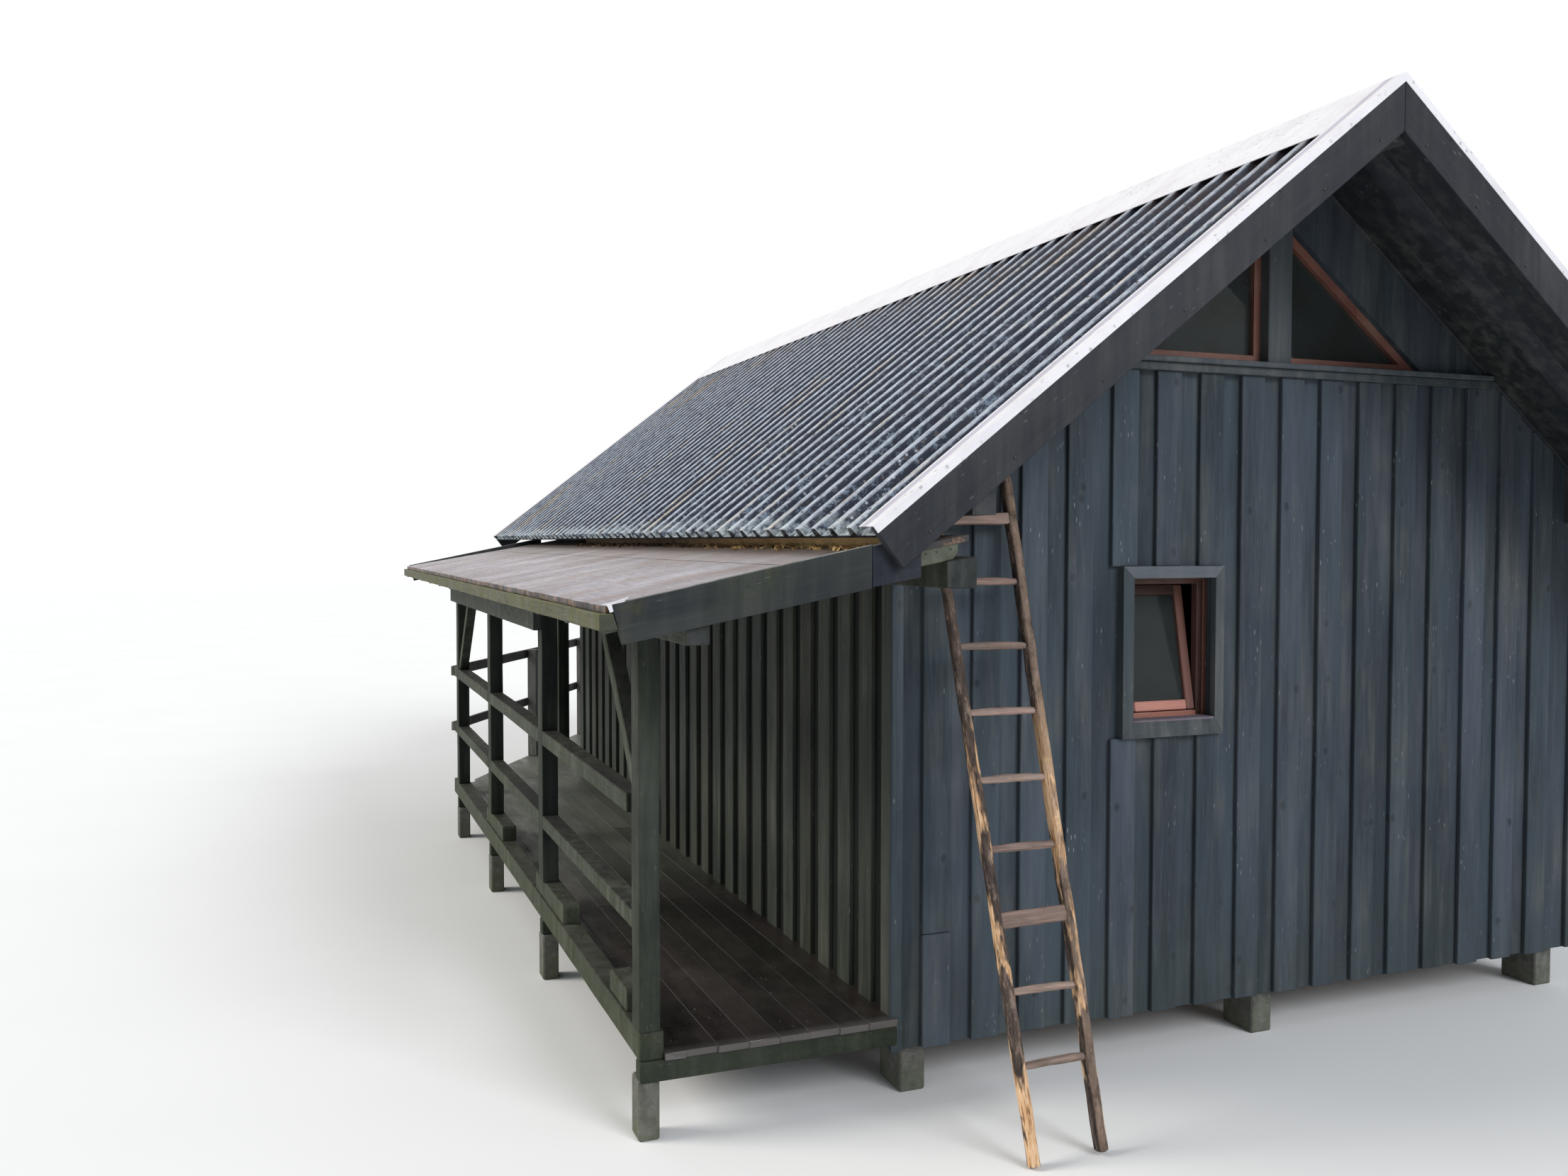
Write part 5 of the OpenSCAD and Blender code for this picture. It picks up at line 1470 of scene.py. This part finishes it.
class TREEHOUSE_OT_porch_cover(bpy.types.Operator):
    """Weathered boards on the roof of the covered deck, with the folded corner sheet"""

    bl_idname = "treehouse.porch_cover"
    bl_label = "Covered deck roof"

    def execute(self, context):
        middle = -context.scene.th_timber.cover_joint
        low, high = node_box("porch_roof")
        lengths, teeth, front_teeth, joint, bedding = 3, 36, 12, 0.006, 0.0005
        cover = Lumber(63)
        rnd = cover.random
        for x0, x1, ragged in ((low.x, middle - 0.004, True), (middle + 0.002, 0.0, False)):
            for n in range(lengths):
                y0 = low.y + (high.y - low.y) * n / lengths + (joint if n else 0.0)
                y1 = low.y + (high.y - low.y) * (n + 1) / lengths
                outer = [(x0 + (rnd.uniform(0.0, 0.006) if ragged else 0.0), y1 - (y1 - y0) * k / teeth)
                         for k in range(teeth + 1)]
                front = [(x0 + (x1 - x0) * k / front_teeth, y0 + (rnd.uniform(0.0, 0.004) if n == 0 else 0.0))
                         for k in range(1, front_teeth)]
                plan = outer + front + [(x1, y0), (x1, y1)]
                shape = [at(x, y, cover_top(x) - COVER_T + bedding) for x, y in plan]
                cover.prism(shape, (0, 0, COVER_T - bedding), ALONG, 0.0012)
        cover.finish("porch_roof_boards", "porch_cover", "porch_covering", ("porch_roof",))
        self.corner_sheet(low)
        return {"FINISHED"}

    def corner_sheet(self, low):
        """A scrap of folded sheet metal on the front outer corner."""
        thick, lift = 0.0015, 0.002
        x0, x1, y0, y1 = low.x + 0.004, low.x + 0.070, low.y - 0.020, low.y + 0.075
        flat = [(x0, y0, 0.0), (x1, y0, 0.010), (x1 + 0.020, y0 + 0.045, 0.012), (x1 - 0.012, y1, 0.0),
                (x0, y1 - 0.020, 0.0)]
        drop = [(x0, x0, lift + thick), (x1 - 0.006, x1, 0.008), (x1 - 0.016, x1, -0.016),
                (x0 + 0.010, x0, -0.020)]
        scrap = Lumber(64)
        flat = [at(x, y, cover_top(x) + lift + curl) for x, y, curl in flat]
        drop = [at(x, y0 - 0.001, cover_top(from_x) + z) for x, from_x, z in drop]
        scrap.prism(flat, (0, 0, thick), ALONG, 0.0004, 0.002, 0.02, tone=0.8, scale=40.0)
        scrap.prism(drop, (0, thick, 0), ACROSS, 0.0004, 0.001, 0.02, tone=0.8, scale=40.0)
        scrap.finish("corner_folded_sheet", "flashing", "flashing")


def beams_of(node, name, seed, along, edge, wobble):
    """A worn beam for each separate solid of a node."""
    beams = Lumber(seed)
    for low, high in solids_of(node):
        beams.box(low, high, along, edge=edge, wobble=wobble)
    beams.finish(name, "post", "rail_paint", (node,))


class TREEHOUSE_OT_rails(bpy.types.Operator):
    """Rails between the posts, and the terrace's rails and posts"""

    bl_idname = "treehouse.rails"
    bl_label = "Rails"

    def execute(self, context):
        timber = context.scene.th_timber
        rails = Lumber(61)
        for name, first in (("rail_top", None), ("rail_middle", POST_D)):
            low, high = node_box(name)
            starts = [low.y if first is None else first] + [y + POST_D for y in POST_YS[1:3]]
            for a, b in zip(starts, POST_YS[1:]):
                rails.box((low.x, a, low.z), (high.x, b, high.z), "Y", edge=timber.edge, wobble=timber.wobble,
                          step=0.25)
            last = POST_YS[3] + POST_D
            plan = [(low.x, last), (high.x, last), (high.x, TURN_Y + (high.x - low.x) / math.tan(TURN)),
                    (low.x, TURN_Y)]
            rails.prism(outline_xy(plan, low.z), (0, 0, high.z - low.z), ALONG, timber.edge, 0.001, 0.1)
            if first is not None:
                rails.plank(at(low.x + 0.012, first + 0.002, high.z + 0.002),
                            at(low.x + 0.030, first + 0.130, high.z + 0.004), ACROSS, 0.012, 0.005, 0.001,
                            0.001, tone=1.0, step=0.03, end_wear=0.02)
        rails.finish("deck_rail_timbers", "rail", "rail_paint", ("rail_top", "rail_middle"))
        beams_of("roof_posts", "roof_post_timbers", 62, "Z", timber.edge, timber.wobble)
        self.terrace(timber)
        return {"FINISHED"}

    def terrace(self, timber):
        """Rails and posts along the slanting, far and right edges of the terrace."""
        top_low, top_high = node_box("rail_top")
        mid_low, mid_high = node_box("rail_middle")
        floor_low, floor_high = node_box("terrace_floor")
        rail_t, post_w = 0.024, 0.082
        far_y, corner_x = floor_high.y, floor_low.x + (floor_high.y - floor_low.y) * math.tan(TURN)
        turn_x = top_low.x
        along = Vector((math.sin(TURN), math.cos(TURN), 0.0))
        inward = Vector((math.cos(TURN), -math.sin(TURN), 0.0))
        slant_l = (far_y - TURN_Y) / math.cos(TURN)
        rails = Lumber(65)
        for z0, z1 in ((top_low.z, top_high.z), (mid_low.z, mid_high.z)):
            z, tall = (z0 + z1) / 2, z1 - z0
            start = at(turn_x, TURN_Y, z) - inward * (rail_t / 2)
            side_x, end_y = HOUSE_W + rail_t / 2, far_y + rail_t / 2
            runs = ((start, start + along * slant_l, rail_t),
                    (at(corner_x, end_y, z), at(HOUSE_W + rail_t, end_y, z), rail_t - 0.002),
                    (at(side_x, HOUSE_L - BOARD_T, z), at(side_x, far_y, z), rail_t))
            for begin, end, thick in runs:
                rails.plank(begin, end, UP, tall, thick, 0.003, 0.0015)
        rails.finish("terrace_rail_boards", "terrace", "rail_paint", ("terrace_rails",))
        posts = Lumber(66)
        end = slant_l - post_w / math.cos(TURN) - post_w * math.tan(TURN)
        foot, head = floor_high.z, top_high.z
        for s in (slant_l / 2, end - post_w):
            place = at(turn_x, TURN_Y, foot) + along * (s + post_w / 2) + inward * (post_w / 2)
            posts.plank(place, place + UP * (head - foot), inward, post_w, post_w, timber.edge, 0.001)
        for x in (HOUSE_W / 2, HOUSE_W - post_w):
            posts.box((x, far_y - post_w, foot), (x + post_w, far_y, head), "Z", edge=timber.edge,
                      wobble=0.001)
        posts.finish("terrace_post_timbers", "terrace", "rail_paint", ("terrace_posts",))


def slant_y(x):
    """Where the terrace's slanting edge lies over a place along the deck's width."""
    return TURN_Y + (x - node_box("deck_kerb")[0].x) / math.tan(TURN)


class TREEHOUSE_OT_deck(bpy.types.Operator):
    """Deck and terrace boards, kerb beam and beams under them"""

    bl_idname = "treehouse.deck"
    bl_label = "Deck"

    def execute(self, context):
        timber = context.scene.th_timber
        low, high = node_box("deck_boards")
        kerb_low, kerb_high = node_box("deck_kerb")
        kerb_w, kerb_top = 0.095, 0.420
        x_out = kerb_low.x + kerb_w
        boards, nails = Lumber(71), Lumber(72)
        rnd = boards.random
        end_y = HOUSE_L - BOARD_T
        gap = timber.deck_pitch - timber.deck_board
        beam_ys = [(box[0].y + box[1].y) / 2 for box in solids_of("deck_beams")]
        x = BOARD_T
        while x > x_out + 0.03:
            x_left = max(x - timber.deck_board, x_out)
            last = min(end_y, slant_y(x_left))
            cuts = [low.y, beam_ys[1] if rnd.random() < 0.5 else beam_ys[2], last]
            if x - gap - x_out < 0.06:
                cuts = [low.y, last]
            for a, b in zip(cuts, cuts[1:]):
                front = rnd.uniform(0.0, 0.012) if a == low.y else 0.002
                z_top = high.z - rnd.uniform(0.0, 0.0015)
                if b == last and last < end_y:
                    plan = [(x_left, a + front), (x, a + front), (x, min(end_y, slant_y(x))), (x_left, b)]
                    self.slant_board(boards, plan, low.z, z_top)
                else:
                    boards.box((x_left, a + front, low.z), (x, b - 0.002, z_top), "Y", edge=0.0015,
                               wobble=0.0008, end_wear=0.005)
            for y in beam_ys:
                for side in (0.25, 0.75):
                    nails.head(at(x_left + (x - x_left) * side, y + rnd.uniform(-0.01, 0.01), high.z - 0.001),
                               UP, 0.0042, 0.0012, 8)
            x -= timber.deck_pitch
        boards.finish("deck_planks", "deck", "deck_wood", ("deck_boards",))
        nails.finish("deck_nails", "screw", "deck_wood")
        self.terrace_planks(timber)
        self.edge_timber(timber, kerb_low, kerb_high, x_out, kerb_top)
        return {"FINISHED"}

    def slant_board(self, lumber, plan, low_z, top_z):
        """A board whose end follows the slanting edge."""
        lumber.prism(outline_xy(plan, low_z), (0, 0, top_z - low_z), ALONG, 0.0015, 0.0005, 0.5)

    def terrace_planks(self, timber):
        """Boards of the terrace behind the house."""
        low, high = node_box("terrace_floor")
        planks = Lumber(74)
        x = high.x
        while x > low.x + 0.02:
            x_left = max(x - timber.deck_board, low.x)
            y_left, y_right = min(high.y, slant_y(x_left)), min(high.y, slant_y(x))
            z_top = high.z - planks.random.uniform(0.0, 0.0015)
            if y_left > low.y + 0.01:
                plan = [(x_left, low.y + 0.002), (x, low.y + 0.002), (x, y_right), (x_left, y_left)]
                self.slant_board(planks, plan, low.z, z_top)
            x -= timber.deck_pitch
        planks.finish("terrace_planks", "deck", "deck_wood", ("terrace_floor",))

    def edge_timber(self, timber, kerb_low, kerb_high, x_out, kerb_top):
        """The kerb beam with its blocks, and the beams across."""
        kerb = Lumber(73)
        kerb.box((kerb_low.x, kerb_low.y, kerb_low.z), (x_out, kerb_high.y, kerb_top), "Y", edge=timber.edge,
                 wobble=timber.wobble, step=0.25)
        block_x, block_w = kerb_low.x + 0.011, 0.084
        for y0, y1 in ((0.240, 0.520), (1.480, 2.203), (3.345, 4.000)):
            shape = [(y0, kerb_top), (y1, kerb_top), (y1, kerb_high.z - 0.014), (y1 - 0.014, kerb_high.z),
                     (y0 + 0.014, kerb_high.z), (y0, kerb_high.z - 0.014)]
            kerb.prism(outline_yz(shape, block_x), (block_w, 0, 0), ALONG, 0.004, 0.0015, 0.08)
        kerb.finish("deck_kerb_timbers", "rail", "rail_paint", ("deck_kerb",))
        # Painted shade: the beams under the deck and the terrace take the very dark post finish, for the
        # shade beneath the floor.
        beams_of("deck_beams", "deck_beam_timbers", 75, "X", 0.005, 0.0015)
        beams_of("terrace_beams", "terrace_beam_timbers", 76, "X", 0.005, 0.0015)


class TREEHOUSE_OT_foundation(bpy.types.Operator):
    """Rough blocks that carry the house and its deck"""

    bl_idname = "treehouse.foundation"
    bl_label = "Foundation"

    def execute(self, context):
        blocks = Lumber(81)
        for low, high in solids_of("foundation_piers"):
            shape = [(low.x, low.y), (high.x, low.y), (high.x, high.y), (low.x, high.y)]
            blocks.prism(outline_xy(shape, low.z), (0, 0, high.z - low.z), UP, 0.007, 0.0, 0.05)
        blocks.finish("foundation_blocks", "stone", "blocks", ("foundation_piers",))
        return {"FINISHED"}


class TREEHOUSE_OT_ladder(bpy.types.Operator):
    """Old ladder that leans on the gable"""

    bl_idname = "treehouse.ladder"
    bl_label = "Ladder"

    FOOT, HEAD = (-0.6959, 0.0), (-0.0018, 2.537)
    LEFT, RIGHT = (0.239, 0.158), (0.528, 0.506)
    RUNG_FIRST, RUNG_STEP, RUNGS = 0.340, 0.252, 9

    def along(self, ends, z):
        """A place on a stile's middle line at a height."""
        part = z / self.HEAD[1]
        y = self.FOOT[0] + (self.HEAD[0] - self.FOOT[0]) * part
        return at(ends[0] + (ends[1] - ends[0]) * part, y, z)

    def execute(self, context):
        round_r, square_w, square_d = 0.025, 0.040, 0.050
        stiles = Lumber(91)
        rnd = stiles.random
        steps = 70
        heights = [0.010 + (self.HEAD[1] - 0.014) * k / steps for k in range(steps + 1)]
        points = [self.along(self.LEFT, z) + Vector((rnd.uniform(-0.001, 0.001), 0, 0)) for z in heights]
        radii = [round_r * (1.0 - 0.10 * z / self.HEAD[1]) for z in heights]
        stiles.pole(points, radii, 26, rough=0.07, scale=6.0, tone=0.15, groove=0.35)
        foot, head = self.along(self.RIGHT, 0.014), self.along(self.RIGHT, self.HEAD[1] - 0.004)
        stiles.plank(foot, head, ACROSS, square_w, square_d, 0.007, 0.0022, tone=1.0, step=0.10)
        stiles.finish("ladder_stile_poles", "ladder", "ladder_wood", ("ladder_stiles",), smooth=50)
        self.rungs(rnd)
        return {"FINISHED"}

    def rungs(self, rnd):
        """Tapered rungs whose ends show through the stiles, one flat rung and a flat board at the top."""
        rungs = Lumber(92)
        for n in range(self.RUNGS):
            z = self.RUNG_FIRST + n * self.RUNG_STEP
            left, right = self.along(self.LEFT, z), self.along(self.RIGHT, z)
            if n in (2, self.RUNGS - 1):
                tall = 0.060 if n == 2 else 0.046
                lean = (self.along(self.LEFT, z + 1.0) - left).normalized()
                left, right = left + Vector((0.010, -0.006, 0)), right + Vector((-0.006, -0.006, 0.004))
                rungs.plank(left, right, lean, tall, 0.026, 0.004, 0.0015, tone=0.25, step=0.06)
                continue
            steps = 14
            tilt = Vector((0, 0, rnd.uniform(-0.004, 0.004)))
            points, radii = [], []
            for k in range(steps + 1):
                part = k / steps
                points.append(left.lerp(right, part) + tilt * (part - 0.5)
                              + Vector((0, 0, 0.003 * math.sin(math.pi * part))))
                radii.append(0.0105 + 0.0060 * math.sin(math.pi * min(1.0, 0.12 + 0.76 * part))
                             + rnd.uniform(-0.0008, 0.0008))
            rungs.pole(points, radii, 14, rough=0.12, scale=14.0, groove=0.22)
        rungs.finish("ladder_rung_poles", "rung", "ladder_wood", ("ladder_rungs",), smooth=50)


class TREEHOUSE_OT_litter(bpy.types.Operator):
    """Packed and loose leaves between the eave and the lower roof"""

    bl_idname = "treehouse.litter"
    bl_label = "Litter"

    def execute(self, context):
        sizes = context.scene.th_litter
        start_y, end_y, x_mid = -0.440, 4.600, -0.215
        radius = sizes.roll_radius
        litter = Lumber(sizes.seed)
        rnd = litter.random
        steps = 150
        points, radii = [], []
        for k in range(steps + 1):
            part = k / steps
            y = start_y + (end_y - start_y) * part
            full = radius * min(1.0, 0.35 + 9.0 * part) * (1.0 - 0.45 * part)
            x = x_mid + 0.012 * math.sin(y * 3.1)
            points.append(at(x, y, cover_top(x) + full * 0.72))
            radii.append(full * (0.92 + 0.16 * rnd.random()))
        litter.pole(points, radii, 20, rough=0.30, scale=22.0, tone=0.35)
        for _ in range(sizes.leaf_count):
            y = start_y - 0.03 + (end_y - start_y) * rnd.random() ** 1.6
            part = (y - start_y) / (end_y - start_y)
            full = radius * (1.0 - 0.45 * max(0.0, part))
            if rnd.random() < 0.72:
                angle = rnd.uniform(0.15, math.pi - 0.4)
                reach = full * rnd.uniform(0.92, 1.12)
                x = x_mid - math.cos(angle) * reach
                z = cover_top(x_mid) + full * 0.72 + math.sin(angle) * reach
            else:
                x = x_mid - radius - abs(rnd.gauss(0.0, 0.035))
                z = cover_top(x) + 0.004
            z = max(z, cover_top(x) + 0.004)
            z = min(z, roof_line(x) - DECK_DROP - 0.006)
            litter.leaf(at(x, y, z), rnd.uniform(0.020, 0.046), rnd.uniform(0, 6.28), rnd.uniform(-0.9, 0.9),
                        rnd.uniform(-0.9, 0.9))
        litter.finish("eave_leaf_litter", "litter", "mossy_wood")
        return {"FINISHED"}


class TREEHOUSE_OT_stage(bpy.types.Operator):
    """Floor, backdrop colour, lights and camera"""

    bl_idname = "treehouse.stage"
    bl_label = "Stage"

    def execute(self, context):
        scene = context.scene
        mesh = bpy.data.meshes.new("stage_floor")
        size = 60.0
        corners = [(-size, -size, 0), (size, -size, 0), (size, size, 0), (-size, size, 0)]
        mesh.from_pydata(corners, [], [(0, 1, 2, 3)])
        floor = bpy.data.objects.new("stage_floor", mesh)
        scene.collection.objects.link(floor)
        g = start_material("stage", "Pale floor")
        place = g.put("ShaderNodeTexCoord").outputs["Object"]
        g.surface(g.mix(g.noise(place, 0.8, 2.0), (0.80, 0.80, 0.80), (0.76, 0.76, 0.76)), 0.9)
        mesh.materials.append(MATERIALS["stage"])
        self.sky(scene)
        self.lamps(scene)
        self.camera(scene)
        scene.view_settings.view_transform = "Standard"
        return {"FINISHED"}

    def sky(self, scene):
        """A pale even sky, dimmer as a light than it looks."""
        world = bpy.data.worlds.new("Soft sky")
        scene.world = world
        world.use_nodes = True
        g = Graph(world.node_tree)
        back = g.nodes["Background"].inputs
        ray = g.put("ShaderNodeLightPath").outputs
        seen = g.math("MAXIMUM", g.math("MAXIMUM", ray["Is Camera Ray"], ray["Is Glossy Ray"]),
                      ray["Is Transmission Ray"])
        g.feed(back["Color"], g.mix(seen, (0.90, 0.95, 1.0), (1.0, 1.0, 1.0)))
        g.feed(back["Strength"], g.span(seen, 0.0, 1.0, 0.55, 1.0))

    def lamps(self, scene):
        """A warm key light over the covered deck and a cool fill light on the gable."""
        for name, place, aim, strength, spread, tint in (
                ("key_light", (-9.5, 1.5, 8.0), (-0.5, -1.0, 1.2), 2.3, 24.0, (1.0, 0.96, 0.88)),
                ("fill_light", (3.6, -9.2, 6.8), (0.5, -1.0, 1.5), 1.9, 28.0, (0.95, 0.97, 1.0))):
            data = bpy.data.lights.new(name, "SUN")
            data.energy = strength
            data.angle = math.radians(spread)
            data.color = tint
            lamp = bpy.data.objects.new(name, data)
            lamp.location = place
            lamp.rotation_euler = (Vector(aim) - Vector(place)).to_track_quat("-Z", "Y").to_euler()
            scene.collection.objects.link(lamp)

    def camera(self, scene):
        """The photo's own viewpoint: its focal length and width in pixels give the lens."""
        focal_px, width_px, sensor = 1829.66, 2212.0, 36.0
        pitch, roll, turn = 90.0 - 2.055, -0.03, -21.04
        data = bpy.data.cameras.new("photo_camera")
        data.sensor_width = sensor
        data.lens = sensor * focal_px / width_px
        data.clip_end = 200.0
        camera = bpy.data.objects.new("photo_camera", data)
        camera.location = at(-2.2626, -4.6730, 2.2664)
        camera.rotation_euler = [math.radians(angle) for angle in (pitch, roll, turn)]
        scene.collection.objects.link(camera)
        scene.camera = camera


PIECES = (
    TREEHOUSE_OT_finishes,
    TREEHOUSE_OT_gable_cladding,
    TREEHOUSE_OT_side_cladding,
    TREEHOUSE_OT_bargeboards,
    TREEHOUSE_OT_roof_boards,
    TREEHOUSE_OT_roof_screws,
    TREEHOUSE_OT_window,
    TREEHOUSE_OT_gable_glazing,
    TREEHOUSE_OT_porch_frame,
    TREEHOUSE_OT_porch_rafters,
    TREEHOUSE_OT_porch_cover,
    TREEHOUSE_OT_rails,
    TREEHOUSE_OT_deck,
    TREEHOUSE_OT_foundation,
    TREEHOUSE_OT_ladder,
    TREEHOUSE_OT_litter,
    TREEHOUSE_OT_stage,
)


class TREEHOUSE_PT_panel(bpy.types.Panel):
    """The tree house's pieces and sizes"""

    bl_idname = "TREEHOUSE_PT_panel"
    bl_label = "Tree House"
    bl_space_type = "VIEW_3D"
    bl_region_type = "UI"
    bl_category = "Tree House"

    def draw(self, context):
        for name, kind in SETTINGS.items():
            box = self.layout.box()
            for key in kind.__annotations__:
                box.prop(getattr(context.scene, name), key)
        for piece in PIECES:
            self.layout.operator(piece.bl_idname)


CLASSES = (*SETTINGS.values(), *PIECES, TREEHOUSE_PT_panel)


def register():
    for cls in CLASSES:
        bpy.utils.register_class(cls)
    for name, kind in SETTINGS.items():
        setattr(bpy.types.Scene, name, PointerProperty(type=kind))


def unregister():
    for name in SETTINGS:
        delattr(bpy.types.Scene, name)
    for cls in reversed(CLASSES):
        bpy.utils.unregister_class(cls)


def main():
    register()
    for piece in PIECES:
        area, call = piece.bl_idname.split(".")
        getattr(getattr(bpy.ops, area), call)()
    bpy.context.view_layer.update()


if __name__ == "__main__":
    main()
